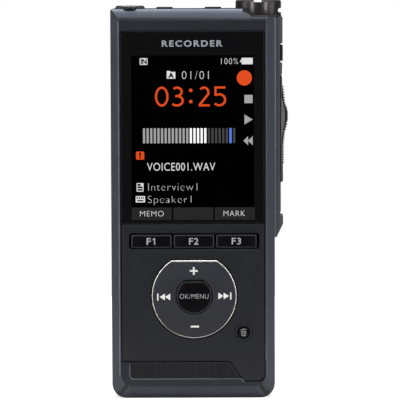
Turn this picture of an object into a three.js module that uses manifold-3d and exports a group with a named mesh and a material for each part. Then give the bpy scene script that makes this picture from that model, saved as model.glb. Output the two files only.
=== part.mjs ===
// A hand-held field recorder, in millimetres.
// It stands upright: the display faces -Y, +Z is up, and the origin is the middle of the bottom face.
import * as THREE from "three";
import { mergeVertices } from "three/addons/utils/BufferGeometryUtils.js";
import Module from "manifold-3d";

const wasm = await Module();
wasm.setup();

// ---- driving dimensions ----

const GAP = 0.3;
const PAST = 0.2; // how far a cutting tool runs past the face that it cuts

// the case: a slab with wide front bevels, split into two shells
const HALF_WIDTH = 24.9;
const HEIGHT = 118.7;
const HALF_DEPTH = 7.8;
const CORNER_RADIUS = 4.5;
const WALL = 1.4;
const FRONT_BEVEL = { depth: 1.8, halfWidth: 22.3, bottom: 3.7, top: 115.2 };
const REAR_BEVEL = { depth: 1.5, halfWidth: 23.2, bottom: 1.6, top: 117.1 };
const SEAM = { front: 0.6, rear: 0.9 };

// the face: a shallow pocket holds the window, the key panel and the grille
const FACE = -HALF_DEPTH;
const FACE_PLATE = { front: -6.3, back: -5.5 };
const FACE_SKIN = { front: -7.7, back: -6.6 };
const WINDOW = { left: -21.8, right: 21.65, bottom: 53.75, top: 112.0, radius: 0.6 };
const PANEL = { left: -21.75, right: 21.6, bottom: 5.4, seam: 11.55, top: 53.35, radius: 2.1 };
const GRILLE = { left: -19.3, topRight: 11.3, bottomRight: 14.4, bottom: 6.2, top: 11.15, radius: 1.2 };

// the keys
const KEY_FLANGE = { front: -6.25, back: -5.85 };
const F_TROUGH = { left: -19.5, right: 20.2, bottom: 45.7, top: 50.7 };
const F_KEY = { width: 12.1, gap: 0.85, left: -18.75, bottom: 46.2, top: 50.1, face: -7.55 };
const NAV = { x: 0.27, z: 31.4, well: 13.3, trim: 12.95, ring: 12.1, flat: 10.95 };
const OK = { hole: 5.7, holeFlat: 5.1, radius: 5.3, flat: 4.35 };
const ERASE = { x: 15.3, z: 20.2, well: 2.85, collar: 2.55, radius: 1.9 };

// the top: a pocket with a black insert, two jacks, a lens and the microphone
const SHELF = { bottom: 114.9, top: 116.3 };
const CAP_TOP = 118.8;
const POCKET = { left: -24.2, right: 14.0, front: -5.5, back: 6.0 };
const MIC = { x: 20.1, y: 0, radius: 6.95, base: 116.6, height: 4.7, bore: 5.6 };
const MIC_LEAD = { y: -2.5, radius: 1.2 };
const JACKS = { mic: -8.5, ear: 6.3, y: 1.5, collar: 2.5, bore: 1.75, top: 119.25 };
const LENS = { x: -18.95, y: -2.5, halfLength: 4.65, halfWidth: 2.7, bottom: 118.2, top: 119.5 };
const LIGHT_PIPE = { x: -16.4, radius: 0.9, hole: 1.3 };

// the right side: a rail with a push button and a long slide
const RAIL = { inner: 25.2, floor: 26.6, outer: 27.4, halfDepth: 4.0, bottom: 49.0, top: 116.2 };
const SLIDE = { bottom: 65.8, top: 98.3, halfDepth: 3.3, inner: 26.9, peak: 29.0, tooth: 0.65, ribDepth: 2.0 };
const SLIDE_STEM = { bottom: 80.2, top: 84.2, halfDepth: 0.9 };
const SLIDE_TRAVEL = 9.6;
const NEW_BUTTON = { bottom: 102.75, top: 107.65, halfDepth: 3.0, face: 27.5 };

// the left side: a door over the card slot and a hold slider
const DOOR = { bottom: 61.1, top: 87.9, front: -2.6, hinge: 3.4, outer: -24.85, thickness: 1.0 };
const HOLD = { bottom: 94.0, top: 100.5, halfDepth: 1.7, travel: 3.5 };

// the back: the battery bay and its cover
const BAY = { halfWidth: 19.3, bottom: 11.7, top: 58.35 };
const COVER = { halfWidth: 19.0, bottom: 12.0, hingeZ: 57.4, hingeY: 7.0, inner: 6.5 };
const BATTERY = { halfWidth: 17.75, bottom: 14.2, height: 42.5, front: -1.2, back: 5.5 };

// the case screws
const SCREWS = [[-20.8, 5.0], [20.8, 5.0], [-20.9, 111.8], [20.9, 111.8]];
const SCREW = { head: 1.5, shank: 0.7, hole: 1.05, well: 1.8, tip: -3.4, seat: 6.5, top: 7.5 };

// what the case holds: the display, the boards, the card, two sockets and the speaker
const DISPLAY = { halfWidth: 20.3, bottom: 52.4, top: 109.2, front: -5.2, back: -3.9 };
const BACKLIGHT = { front: -3.6, back: -2.5 };
const MAIN_BOARD = { halfWidth: 21.5, front: -2.0, back: -1.5, bottom: 60.5, top: 109.2 };
const CHIPS = [{ x: -12, z: 92, half: 5 }, { x: 4, z: 97, half: 4 }];
const CARD = { left: -22.4, right: 9.6, bottom: 62.5, top: 86.5, front: 0.65, back: 2.75, corner: 2.3 };
const USB = { left: 7.2, right: 15.0, front: -1.4, back: 1.5, top: 5.6, wall: 0.4 };
const DOCK = { left: -17.0, right: -7.0, front: -1.4, back: 1.8, bottom: 0.4, top: 4.0 };
const SPEAKER = { left: -17.9, right: 2.5, bottom: 4.4, top: 12.4 };

// ---- solids ----

const X_AXIS = new THREE.Vector3(1, 0, 0);
const Y_AXIS = new THREE.Vector3(0, 1, 0);
const Z_AXIS = new THREE.Vector3(0, 0, 1);

function solid(geometry) {
  const bare = geometry.clone();
  bare.deleteAttribute("normal");
  bare.deleteAttribute("uv");
  const welded = mergeVertices(bare, 1e-4);
  return new wasm.Manifold(new wasm.Mesh({
    numProp: 3,
    vertProperties: new Float32Array(welded.attributes.position.array),
    triVerts: new Uint32Array(welded.index.array),
  }));
}

function geometryOf(manifold) {
  const mesh = manifold.getMesh();
  const geometry = new THREE.BufferGeometry();
  geometry.setAttribute("position", new THREE.BufferAttribute(mesh.vertProperties, 3));
  geometry.setIndex(new THREE.BufferAttribute(mesh.triVerts, 1));
  geometry.computeVertexNormals();
  return geometry;
}

function join(first, ...others) {
  return others.reduce((whole, next) => whole.add(next), first);
}

function cut(first, ...tools) {
  return tools.reduce((whole, tool) => whole.subtract(tool), first);
}

function box(x0, x1, y0, y1, z0, z1) {
  const geometry = new THREE.BoxGeometry(x1 - x0, y1 - y0, z1 - z0);
  geometry.translate((x0 + x1) / 2, (y0 + y1) / 2, (z0 + z1) / 2);
  return solid(geometry);
}

// a rod along X, Y or Z; across holds its centre in the other two coordinates, in x, y, z order
function rod(axis, across, from, to, radius, sides = 24) {
  const geometry = new THREE.CylinderGeometry(radius, radius, to - from, sides);
  const middle = (from + to) / 2;
  const [a, b] = across;
  if (axis === "x") {
    geometry.rotateZ(Math.PI / 2);
    geometry.translate(middle, a, b);
  } else if (axis === "y") {
    geometry.translate(a, middle, b);
  } else {
    geometry.rotateX(Math.PI / 2);
    geometry.translate(a, b, middle);
  }
  return solid(geometry);
}

// extrusions of a flat shape: drawn in XZ and run along Y, in YZ and run along X, or in XY and run along Z
function extruded(shape, depth, curveSegments) {
  return new THREE.ExtrudeGeometry(shape, { depth, bevelEnabled: false, curveSegments });
}

function alongY(shape, front, back, curveSegments = 6) {
  const geometry = extruded(shape, back - front, curveSegments);
  geometry.applyMatrix4(new THREE.Matrix4().makeBasis(X_AXIS, Z_AXIS, Y_AXIS.clone().negate()));
  geometry.translate(0, back, 0);
  return geometry;
}

function alongX(shape, from, to, curveSegments = 6) {
  const geometry = extruded(shape, to - from, curveSegments);
  geometry.applyMatrix4(new THREE.Matrix4().makeBasis(Y_AXIS, Z_AXIS, X_AXIS));
  geometry.translate(from, 0, 0);
  return geometry;
}

function alongZ(shape, from, to, curveSegments = 6) {
  const geometry = extruded(shape, to - from, curveSegments);
  geometry.translate(0, 0, from);
  return geometry;
}

function turned(profile, sides = 36) {
  const geometry = new THREE.LatheGeometry(profile.map(([r, z]) => new THREE.Vector2(r, z)), sides);
  geometry.rotateX(Math.PI / 2);
  return solid(geometry);
}

// ---- outlines ----

function polygon(points) {
  return new THREE.Shape(points.map(([a, b]) => new THREE.Vector2(a, b)));
}

function roundedRectangle(left, right, bottom, top, lowRadius, highRadius = lowRadius) {
  const quarter = Math.PI / 2;
  const shape = new THREE.Shape();
  shape.moveTo(left + lowRadius, bottom);
  shape.absarc(right - lowRadius, bottom + lowRadius, lowRadius, -quarter, 0, false);
  shape.absarc(right - highRadius, top - highRadius, highRadius, 0, quarter, false);
  shape.absarc(left + highRadius, top - highRadius, highRadius, quarter, 2 * quarter, false);
  shape.absarc(left + lowRadius, bottom + lowRadius, lowRadius, 2 * quarter, 3 * quarter, false);
  return shape;
}

// a circle with its top sliced flat
function flatTopDisc(x, z, radius, flat) {
  const slice = Math.asin(flat / radius);
  const shape = new THREE.Shape();
  shape.absarc(x, z, radius, Math.PI - slice, 2 * Math.PI + slice, false);
  return shape;
}

function flatTopCylinder(x, z, radius, flat, front, back, sides = 32) {
  return solid(alongY(flatTopDisc(x, z, radius, flat), front, back, sides));
}

// the panel and its pocket share this outline; grow moves it outward
function panelOutline(grow) {
  const left = PANEL.left - grow;
  const right = PANEL.right + grow;
  const bottom = PANEL.bottom - grow;
  const shape = new THREE.Shape();
  shape.moveTo(left, PANEL.top + grow);
  shape.lineTo(left, PANEL.seam - grow);
  const corner = GRILLE.topRight + GAP - grow;
  shape.lineTo(corner - 0.7, PANEL.seam - grow);
  shape.quadraticCurveTo(corner, PANEL.seam - grow, corner + 0.4, PANEL.seam - 0.7);
  shape.lineTo(GRILLE.bottomRight + 1.0 - grow, bottom);
  shape.absarc(right - PANEL.radius, bottom + PANEL.radius, PANEL.radius, -Math.PI / 2, 0, false);
  shape.lineTo(right, PANEL.top + grow);
  return shape;
}

function grilleOutline(grow) {
  const left = GRILLE.left - grow;
  const bottom = GRILLE.bottom - grow;
  const top = GRILLE.top + grow;
  const shape = new THREE.Shape();
  shape.moveTo(left, top);
  shape.lineTo(left, bottom + GRILLE.radius);
  shape.absarc(left + GRILLE.radius, bottom + GRILLE.radius, GRILLE.radius, Math.PI, 1.5 * Math.PI, false);
  shape.lineTo(GRILLE.bottomRight + 2.5 * grow, bottom);
  shape.lineTo(GRILLE.topRight + 0.1 + 2.5 * grow, GRILLE.top - 0.5);
  shape.lineTo(GRILLE.topRight - 0.5, top);
  return shape;
}

// ---- the two shells ----

// one half of the case: straight sides from the seam to the shoulder, then a bevel to the flat face
function caseHalf(face, seam, bevel) {
  const outline = roundedRectangle(-HALF_WIDTH, HALF_WIDTH, 0, HEIGHT, CORNER_RADIUS, 0.5);
  const inward = Math.sign(seam - face);
  const shoulder = face + inward * bevel.depth;
  const sides = alongY(outline, Math.min(shoulder, seam), Math.max(shoulder, seam));
  const slope = alongY(outline, Math.min(face, shoulder), Math.max(face, shoulder));
  const places = slope.attributes.position;
  for (let i = 0; i < places.count; i += 1) {
    if (Math.abs(places.getY(i) - face) < 1e-3) {
      places.setX(i, places.getX(i) * bevel.halfWidth / HALF_WIDTH);
      places.setZ(i, bevel.bottom + places.getZ(i) * (bevel.top - bevel.bottom) / HEIGHT);
    }
  }
  return join(solid(sides), solid(slope));
}

// the openings that both shells share, because the seam runs through them
function sharedOpenings() {
  const low = -HALF_DEPTH;
  const high = HALF_DEPTH;
  const outside = HALF_WIDTH + 1;
  const inside = HALF_WIDTH - WALL - PAST;
  const micCorner = polygon([[15.2, HEIGHT], [18.0, SHELF.top], [32, SHELF.top], [32, 126], [15.2, 126]]);
  return [
    box(POCKET.left, POCKET.right, POCKET.front, POCKET.back, SHELF.top, HEIGHT + PAST),
    rod("z", [MIC.x, MIC.y], SHELF.top, HEIGHT + PAST, MIC.radius + 0.5, 40),
    solid(alongY(micCorner, low - PAST, high + PAST)),
    rod("z", [JACKS.mic, JACKS.y], SHELF.bottom - PAST, SHELF.top + PAST, JACKS.collar + 0.35),
    rod("z", [JACKS.ear, JACKS.y], SHELF.bottom - PAST, SHELF.top + PAST, JACKS.collar + 0.35),
    rod("z", [LIGHT_PIPE.x, LENS.y], SHELF.bottom - PAST, SHELF.top + PAST, LIGHT_PIPE.hole, 20),
    rod("z", [MIC.x, MIC_LEAD.y], SHELF.bottom - PAST, SHELF.top + PAST, MIC_LEAD.radius, 20),
    box(inside, outside, -1.3, 1.3, SLIDE_STEM.bottom - SLIDE_TRAVEL - 1, SLIDE_STEM.top + 1),
    box(inside, outside, -2.2, 2.2, NEW_BUTTON.bottom + 0.4, NEW_BUTTON.top - 0.4),
    box(-outside, -inside, DOOR.front - GAP, DOOR.hinge + 0.8, DOOR.bottom - GAP, DOOR.top + GAP),
    box(
      -outside, -inside,
      -HOLD.halfDepth - GAP, HOLD.halfDepth + GAP,
      HOLD.bottom - GAP, HOLD.top + HOLD.travel + GAP,
    ),
    box(DOCK.left - 0.4, DOCK.right + 0.4, DOCK.front - 0.4, DOCK.back + 0.4, -PAST, WALL + PAST),
    box(USB.left - 0.4, USB.right + 0.4, USB.front - 0.4, USB.back + 0.4, -PAST, WALL + PAST),
  ];
}

function inside(front, back) {
  const half = HALF_WIDTH - WALL;
  return solid(alongY(roundedRectangle(-half, half, WALL, SHELF.bottom, 3.1, 0.5), front, back));
}

function frontFrame() {
  const frame = cut(
    caseHalf(FACE, SEAM.front, FRONT_BEVEL),
    inside(FACE_PLATE.back, SEAM.front + PAST),
  );
  const bosses = SCREWS.map((place) => rod("y", place, FACE_PLATE.back - PAST, SEAM.front, 2.2, 20));
  const window = roundedRectangle(
    WINDOW.left - GAP, WINDOW.right + GAP, PANEL.top, WINDOW.top + GAP, 0.3, WINDOW.radius);
  return cut(
    join(frame, ...bosses),
    ...SCREWS.map((place) => rod("y", place, -4.2, SEAM.front + PAST, SCREW.hole, 16)),
    ...sharedOpenings(),
    solid(alongY(window, FACE - PAST, FACE_PLATE.front)),
    solid(alongY(panelOutline(GAP), FACE - PAST, FACE_PLATE.front)),
    solid(alongY(grilleOutline(GAP), FACE - PAST, FACE_PLATE.front)),
    box(-19.2, 19.2, FACE_PLATE.front - PAST, FACE_PLATE.back + PAST, 54.2, 105.2),
    box(-20.6, 20.85, FACE_PLATE.front - PAST, FACE_PLATE.back + PAST, 13.2, 51.6),
    box(-18.2, 10.6, FACE_PLATE.front - PAST, FACE_PLATE.back + PAST, 6.9, 10.6),
    box(-20.9, -17.0, -6.6, POCKET.front + PAST, HEIGHT - 1.0, HEIGHT + PAST),
  );
}

function rearShell() {
  const half = HALF_WIDTH - WALL;
  const back = HALF_DEPTH - WALL;
  const shell = cut(caseHalf(HALF_DEPTH, SEAM.rear, REAR_BEVEL), inside(SEAM.rear - PAST, back));
  const bosses = SCREWS.map((place) => rod("y", place, SEAM.rear, back + PAST, 2.75, 20));
  const hingeBlocks = [-1, 1].map((side) => box(
    Math.min(side * BAY.halfWidth, side * 21.5), Math.max(side * BAY.halfWidth, side * 21.5),
    5.3, back + PAST, 55.9, 59.0));
  const doorHingeBlocks = [58.6, 88.2].map((low) => box(-half - PAST, -22.6, 1.9, 4.8, low, low + 2.2));
  const pinNotches = [-1, 1].map((side) => box(
    Math.min(side * BAY.halfWidth, side * 20.6) - PAST, Math.max(side * BAY.halfWidth, side * 20.6) + PAST,
    5.0, 7.55, COVER.hingeZ - 0.6, COVER.hingeZ + 0.6));
  const pinEnds = [[59.9, 61.0], [88.0, 89.1]];
  const doorNotches = pinEnds.map(([low, high]) => box(-24.75, -22.4, 2.9, 3.9, low, high));
  return cut(
    join(shell, ...bosses, ...hingeBlocks, ...doorHingeBlocks),
    ...SCREWS.map((place) => rod("y", place, SEAM.rear - PAST, HALF_DEPTH + PAST, SCREW.hole, 16)),
    ...SCREWS.map((place) => rod("y", place, SCREW.seat - GAP, HALF_DEPTH + PAST, SCREW.well, 24)),
    ...sharedOpenings(),
    box(-BAY.halfWidth, BAY.halfWidth, back - PAST, HALF_DEPTH + PAST, BAY.bottom, BAY.top),
    ...pinNotches,
    ...doorNotches,
  );
}

// ---- the face ----

function displayWindow() {
  const { left, right, bottom, top, radius } = WINDOW;
  const outline = roundedRectangle(left, right, bottom, top, 0.3, radius);
  return solid(alongY(outline, FACE_SKIN.front, FACE_SKIN.back));
}

function controlPanel() {
  const through = [FACE_SKIN.front - PAST, FACE_SKIN.back + PAST];
  return cut(
    solid(alongY(panelOutline(0), FACE_SKIN.front, FACE_SKIN.back)),
    box(F_TROUGH.left, F_TROUGH.right, ...through, F_TROUGH.bottom, F_TROUGH.top),
    flatTopCylinder(NAV.x, NAV.z, NAV.well, NAV.flat + 0.35, ...through),
    rod("y", [ERASE.x, ERASE.z], ...through, ERASE.well, 28),
  );
}

// a strip with a row of sound slots
function speakerGrille() {
  const plate = solid(alongY(grilleOutline(0), -7.6, FACE_SKIN.back));
  const slots = [];
  for (let x = GRILLE.left + 1.5; x < GRILLE.topRight - 0.6; x += 1.2) {
    slots.push(box(x, x + 0.5, -8, -6, GRILLE.bottom + 1.0, GRILLE.top - 0.9));
  }
  return cut(plate, ...slots);
}

// ---- the keys ----

function functionKey(index) {
  const left = F_KEY.left + index * (F_KEY.width + F_KEY.gap);
  const right = left + F_KEY.width;
  const flangeLeft = index === 0 ? F_TROUGH.left - 0.4 : left - 0.25;
  const flangeRight = index === 2 ? F_TROUGH.right + 0.3 : right + 0.25;
  const flangeBottom = F_TROUGH.bottom - 0.3;
  const flangeTop = F_TROUGH.top + 0.3;
  const cap = roundedRectangle(left, right, F_KEY.bottom, F_KEY.top, 0.35);
  return join(
    solid(alongY(cap, F_KEY.face, KEY_FLANGE.front + 0.1)),
    box(flangeLeft, flangeRight, KEY_FLANGE.front, KEY_FLANGE.back, flangeBottom, flangeTop),
  );
}

function navRing() {
  const body = flatTopCylinder(0, 0, NAV.ring, NAV.flat - 0.85, FACE_SKIN.front, -6.4);
  const skirt = rod("y", [0, 0], -6.5, -5.55, 10.2);
  const flange = rod("y", [0, 0], -5.95, -5.55, 13.7, 32);
  return cut(
    join(body, skirt, flange),
    flatTopCylinder(0, 0, OK.hole, OK.holeFlat, -8, -6),
    rod("y", [0, 0], -6.4, -5, 7.5),
  );
}

function navTrim() {
  return cut(
    flatTopCylinder(0, 0, NAV.trim, NAV.flat, -7.75, -6.9),
    flatTopCylinder(0, 0, NAV.ring + GAP, NAV.flat - 0.55, -8, -6),
  );
}

// the plate that the ring rocks on
function navGimbal() {
  return cut(rod("y", [0, 0], -5.0, -4.75, 9.3), rod("y", [0, 0], -6, -4, 7.0));
}

function okKey() {
  return join(
    flatTopCylinder(0, 0, OK.radius, OK.flat, -7.6, -5.7, 24),
    rod("y", [0, 0], -5.8, -5.4, 6.6),
  );
}

function eraseKey() {
  return join(
    rod("y", [0, 0], -7.6, KEY_FLANGE.front + 0.1, ERASE.radius, 24),
    rod("y", [0, 0], KEY_FLANGE.front, KEY_FLANGE.back, ERASE.collar + 0.4, 24),
  );
}

function eraseCollar() {
  return cut(
    rod("y", [0, 0], -7.75, FACE_SKIN.back, ERASE.collar, 28),
    rod("y", [0, 0], -8, -6, ERASE.radius + GAP, 28),
  );
}

function keypadMat() {
  const sheet = cut(
    box(-20.0, 20.0, -4.5, -4.2, 13.8, 51.0),
    rod("y", [NAV.x, NAV.z], -5, -4, 9.8),
  );
  const middle = (F_KEY.bottom + F_KEY.top) / 2;
  const domes = [[ERASE.x, ERASE.z, -5.1]];
  for (let key = 0; key < 3; key += 1) {
    domes.push([F_KEY.left + F_KEY.width / 2 + key * (F_KEY.width + F_KEY.gap), middle, -5.1]);
  }
  for (let turn = 0; turn < 4; turn += 1) {
    const angle = turn * Math.PI / 2;
    domes.push([NAV.x + 11.6 * Math.cos(angle), NAV.z + 11.6 * Math.sin(angle), -4.7]);
  }
  return join(sheet, ...domes.map(([x, z, tip]) => rod("y", [x, z], tip, -4.4, 1.5, 10)));
}

function keyBoard() {
  return join(box(-20.4, 20.4, -3.9, -3.4, 13.4, 51.4), rod("y", [NAV.x, NAV.z], -4.3, -3.8, 2.2, 12));
}

// ---- the top ----

function topCap() {
  const insert = box(
    POCKET.left + GAP, 13.2,
    POCKET.front + GAP, POCKET.back - GAP,
    SHELF.top + GAP, CAP_TOP,
  );
  return cut(
    insert,
    rod("z", [MIC.x, MIC.y], SHELF.top, CAP_TOP + 1, MIC.radius + 0.9, 40),
    rod("z", [JACKS.mic, JACKS.y], SHELF.top, CAP_TOP + 1, JACKS.collar + 0.35),
    rod("z", [JACKS.ear, JACKS.y], SHELF.top, CAP_TOP + 1, JACKS.collar + 0.35),
    rod("z", [LIGHT_PIPE.x, LENS.y], SHELF.top, CAP_TOP + 1, LIGHT_PIPE.hole, 20),
    box(-25, -13.95, -7, 0.55, LENS.bottom - GAP, CAP_TOP + 1),
  );
}

// an oval lens with a lip over the front rim and a light pipe down to its board
function ledLens() {
  const oval = new THREE.Shape();
  oval.absellipse(0, 0, LENS.halfLength - 0.6, LENS.halfWidth - 0.6, 0, 2 * Math.PI, false, 0);
  const dome = new THREE.ExtrudeGeometry(oval, {
    depth: 0.3,
    bevelEnabled: true,
    bevelThickness: 0.5,
    bevelSize: 0.6,
    bevelSegments: 2,
    curveSegments: 20,
  });
  dome.translate(LENS.x, LENS.y, LENS.bottom + 0.5);
  return join(
    solid(dome),
    box(-20.5, -17.4, -6.2, -4.0, LENS.bottom, LENS.top - 0.3),
    rod("z", [LIGHT_PIPE.x, LENS.y], 114.2, LENS.bottom + 0.4, LIGHT_PIPE.radius, 16),
  );
}

function ledBoard() {
  return join(box(-18.3, -14.4, -4.4, -1.4, 111.6, 112.6), box(-17.2, -15.6, -3.3, -1.7, 112.5, 113.8));
}

function jack(x) {
  const body = box(x - 3.1, x + 3.1, -0.7, JACKS.y + 2.2, 102.5, 114.5);
  const collar = rod("z", [x, JACKS.y], 114, JACKS.top, JACKS.collar, 28);
  return cut(join(body, collar), rod("z", [x, JACKS.y], 104.5, JACKS.top + PAST, JACKS.bore, 20));
}

function micHousing() {
  const { radius, base, height, bore } = MIC;
  const cup = turned([
    [0, 0], [radius - 0.3, 0], [radius, 0.3], [radius, height - 0.5], [radius - 0.5, height],
    [bore, height], [bore, 0.8], [0, 0.8],
  ], 40).translate([MIC.x, MIC.y, base]);
  return cut(
    cup,
    box(MIC.x - 1.3, MIC.x + 0.8, -8, 8, base + height - 1.0, base + height + 1),
    box(MIC.x + 5.95, MIC.x + 8, -8, 8, 117.5, 118.85),
    rod("z", [MIC.x, MIC_LEAD.y], base - PAST, base + 1, MIC_LEAD.radius, 20),
  );
}

function micGrille() {
  const rim = MIC.bore - GAP;
  const rise = 0.65;
  const profile = [[0, 0], [rim, 0], [rim, 0.25]];
  for (let step = 1; step <= 6; step += 1) {
    const angle = step * Math.PI / 12;
    profile.push([step === 6 ? 0 : rim * Math.cos(angle), 0.25 + rise * Math.sin(angle)]);
  }
  return turned(profile, 32).translate([MIC.x, MIC.y, 119.25]);
}

function micCapsule() {
  return rod("z", [MIC.x, MIC.y], 117.8, 119.2, 2.2, 16);
}

function micCushion() {
  return cut(
    rod("z", [MIC.x, MIC.y], 117.75, 119.2, MIC.bore - GAP),
    rod("z", [MIC.x, MIC.y], 117, 120, 2.6, 16),
  );
}

// ---- the right side ----

function sideRail() {
  const { inner, floor, outer, bottom, top } = RAIL;
  const outline = polygon([
    [inner, bottom], [inner + 0.3, bottom], [27.5, 53.2], [27.5, 55.6], [floor, 55.8],
    [floor, 98.5], [outer - 0.2, 98.7], [outer - 0.1, 102.1], [floor, 102.35],
    [floor, 108.05], [outer, 108.3], [outer, top], [inner, top],
  ]);
  return cut(
    solid(alongY(outline, -RAIL.halfDepth, RAIL.halfDepth)),
    box(inner - PAST, floor + 1, -1.3, 1.3, SLIDE_STEM.bottom - SLIDE_TRAVEL - 1, SLIDE_STEM.top + 1),
    box(floor - 0.5, floor + 1, -3.3, 3.3, NEW_BUTTON.bottom - GAP, NEW_BUTTON.top + GAP),
    box(inner - PAST, floor + 1, -2.2, 2.2, NEW_BUTTON.bottom + 0.4, NEW_BUTTON.top - 0.4),
  );
}

// a row of teeth from one point to another, standing out along +X
function teeth(from, to, depth) {
  const count = Math.round(Math.abs(to[1] - from[1]) / SLIDE.tooth);
  const x = (t) => from[0] + (to[0] - from[0]) * t;
  const z = (t) => from[1] + (to[1] - from[1]) * t;
  const points = [];
  for (let i = 0; i < count; i += 1) {
    const rise = (i + 0.1) / count;
    const fall = (i + 0.5) / count;
    const valley = (i + 0.6) / count;
    points.push([x(rise), z(rise)], [x(fall), z(fall)], [x(valley) - depth, z(valley)]);
  }
  return points;
}

function recordSlider() {
  const { inner, peak, bottom, top, halfDepth, ribDepth } = SLIDE;
  const cheeks = polygon([
    [inner, bottom], [27.15, bottom], [27.15, 79.5], [27.5, 81.5], [28.05, 84.2],
    [28.1, 87.6], [27.5, 89.9], [27.15, 91.6], [27.15, top], [inner, top],
  ]);
  const rib = polygon([
    [inner, bottom], [27.3, bottom], [27.55, bottom + 0.6], [27.5, 70.9],
    ...teeth([27.5, 71.2], [27.5, 77.7], 0.25),
    ...teeth([27.55, 77.7], [27.9, 81.2], 0.3),
    ...teeth([27.95, 81.2], [peak - 0.2, 83.8], 0.3),
    [peak, 84.6], [peak, 87.3],
    ...teeth([peak - 0.1, 87.8], [27.95, 90.1], 0.3),
    ...teeth([27.9, 90.1], [27.4, 95.0], 0.3),
    [27.35, 95.4], [27.3, top - 0.4], [27.1, top], [inner, top],
  ]);
  return join(
    solid(alongY(cheeks, -halfDepth, halfDepth)),
    solid(alongY(rib, -ribDepth, ribDepth)),
    box(23.1, inner + 0.1, -SLIDE_STEM.halfDepth, SLIDE_STEM.halfDepth, SLIDE_STEM.bottom, SLIDE_STEM.top),
    box(22.5, 23.2, -2.0, 2.0, SLIDE_STEM.bottom - 0.8, SLIDE_STEM.top + 0.8),
  );
}

function newButton() {
  const { face, bottom, top, halfDepth } = NEW_BUTTON;
  const outline = roundedRectangle(SLIDE.inner, face, bottom, top, 0.2);
  return join(
    solid(alongY(outline, -halfDepth, halfDepth)),
    box(23.6, SLIDE.inner + 0.1, -1.8, 1.8, bottom + 0.9, top - 0.9),
  );
}

// ---- the left side ----

function cardDoor() {
  const { outer, thickness, front, hinge, bottom, top } = DOOR;
  const middle = outer + thickness / 2;
  const outline = new THREE.Shape();
  outline.moveTo(outer, hinge);
  outline.lineTo(outer, front);
  outline.lineTo(outer + thickness, front);
  outline.lineTo(outer + thickness, hinge);
  outline.absarc(middle, hinge, thickness / 2, 0, Math.PI, false);
  return join(
    solid(alongZ(outline, bottom, top)),
    rod("z", [middle, hinge], bottom - 0.9, top + 0.9, 0.25, 12),
  );
}

function powerSlider() {
  const { bottom, top, halfDepth } = HOLD;
  const plate = box(-24.7, -23.1, -halfDepth, halfDepth, bottom, top);
  const ribs = [-1, 0, 1].map((place) => {
    const z = (bottom + top) / 2 + place * 1.2;
    return box(-24.85, -24.6, -halfDepth + 0.3, halfDepth - 0.3, z - 0.25, z + 0.25);
  });
  return join(plate, ...ribs, box(-23.2, -22.5, -2.5, 2.5, bottom - 0.8, top + 0.8));
}

// ---- the back ----

function batteryCover() {
  const { halfWidth, bottom, hingeZ, hingeY, inner } = COVER;
  const middle = (inner + HALF_DEPTH) / 2;
  const outline = new THREE.Shape();
  outline.moveTo(inner, hingeZ);
  outline.lineTo(inner, bottom);
  outline.lineTo(HALF_DEPTH, bottom);
  outline.lineTo(HALF_DEPTH, hingeZ);
  outline.absarc(middle, hingeZ, (HALF_DEPTH - inner) / 2, 0, Math.PI, false);
  return cut(
    join(
      solid(alongX(outline, -halfWidth, halfWidth)),
      rod("x", [hingeY, hingeZ], -20.3, 20.3, 0.3, 12),
    ),
    box(-5.2, 5.2, 7.1, 8.2, 14.1, 18.9),
    box(-3.1, 2.9, 6, 8, 15.4, 17.6),
  );
}

function batteryLatch() {
  const ribs = [-4.0, -2.8, -1.6, -0.4, 0.8].map((x) => box(x - 0.3, x + 0.3, 7.6, 8.0, 14.8, 18.2));
  return join(box(-4.9, 1.6, 7.4, 7.8, 14.4, 18.6), ...ribs, box(-2.7, -0.7, 6.6, 7.5, 15.8, 17.2));
}

function battery() {
  const { halfWidth, bottom, height, front, back } = BATTERY;
  const outline = roundedRectangle(-halfWidth, halfWidth, bottom, bottom + height, 1.2);
  return solid(alongY(outline, front, back, 3));
}

function batteryTray() {
  return cut(
    box(-18.9, 18.9, -2.2, 5.8, 13.1, 57.8),
    box(-18.1, 18.1, -1.5, 6, 13.9, 57.0),
    box(-5.4, 5.4, -1.0, 1.9, 56.5, 58.5),
  );
}

function batteryContacts() {
  const blades = [-3.4, 0, 3.4].map((x) => box(x - 0.6, x + 0.6, 0, 0.6, 57.0, 58.4));
  return join(box(-5, 5, -0.6, 1.5, 58.2, 59.6), ...blades);
}

// ---- the display, the boards and what they carry ----

function displayLayer(front, back) {
  return box(-DISPLAY.halfWidth, DISPLAY.halfWidth, front, back, DISPLAY.bottom, DISPLAY.top);
}

function displayFlex() {
  const strip = polygon([
    [-4.8, 109.5], [-4.55, 109.5], [-4.55, 110.75], [-1.45, 110.75],
    [-1.45, 109.5], [-1.2, 109.5], [-1.2, 111.0], [-4.8, 111.0],
  ]);
  return solid(alongX(strip, -7, 7));
}

function mainBoard() {
  const { halfWidth, front, back, bottom, top } = MAIN_BOARD;
  const chips = CHIPS.map(({ x, z, half }) => box(
    x - half, x + half,
    back - 0.1, back + 0.8,
    z - half, z + half,
  ));
  return join(box(-halfWidth, halfWidth, front, back, bottom, top), ...chips);
}

function cardSocket() {
  return cut(
    box(-22.6, 11, -0.4, 3.8, 61.2, 87.8),
    box(-23, 10.2, 0.3, 3.1, 62.1, 86.9),
  );
}

function memoryCard() {
  const { left, right, bottom, top, front, back, corner } = CARD;
  const outline = polygon([
    [left, bottom], [right, bottom], [right, top - corner], [right - corner, top], [left, top],
  ]);
  return solid(alongY(outline, front, back));
}

function usbSocket() {
  const { left, right, front, back, top, wall } = USB;
  return cut(
    box(left, right, front, back, 0.3, top),
    box(left + wall, right - wall, front + wall, 0.0, 0, top - 0.8),
    box(left + wall, right - wall, 0.5, back - wall, 0, top - 0.8),
  );
}

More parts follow.
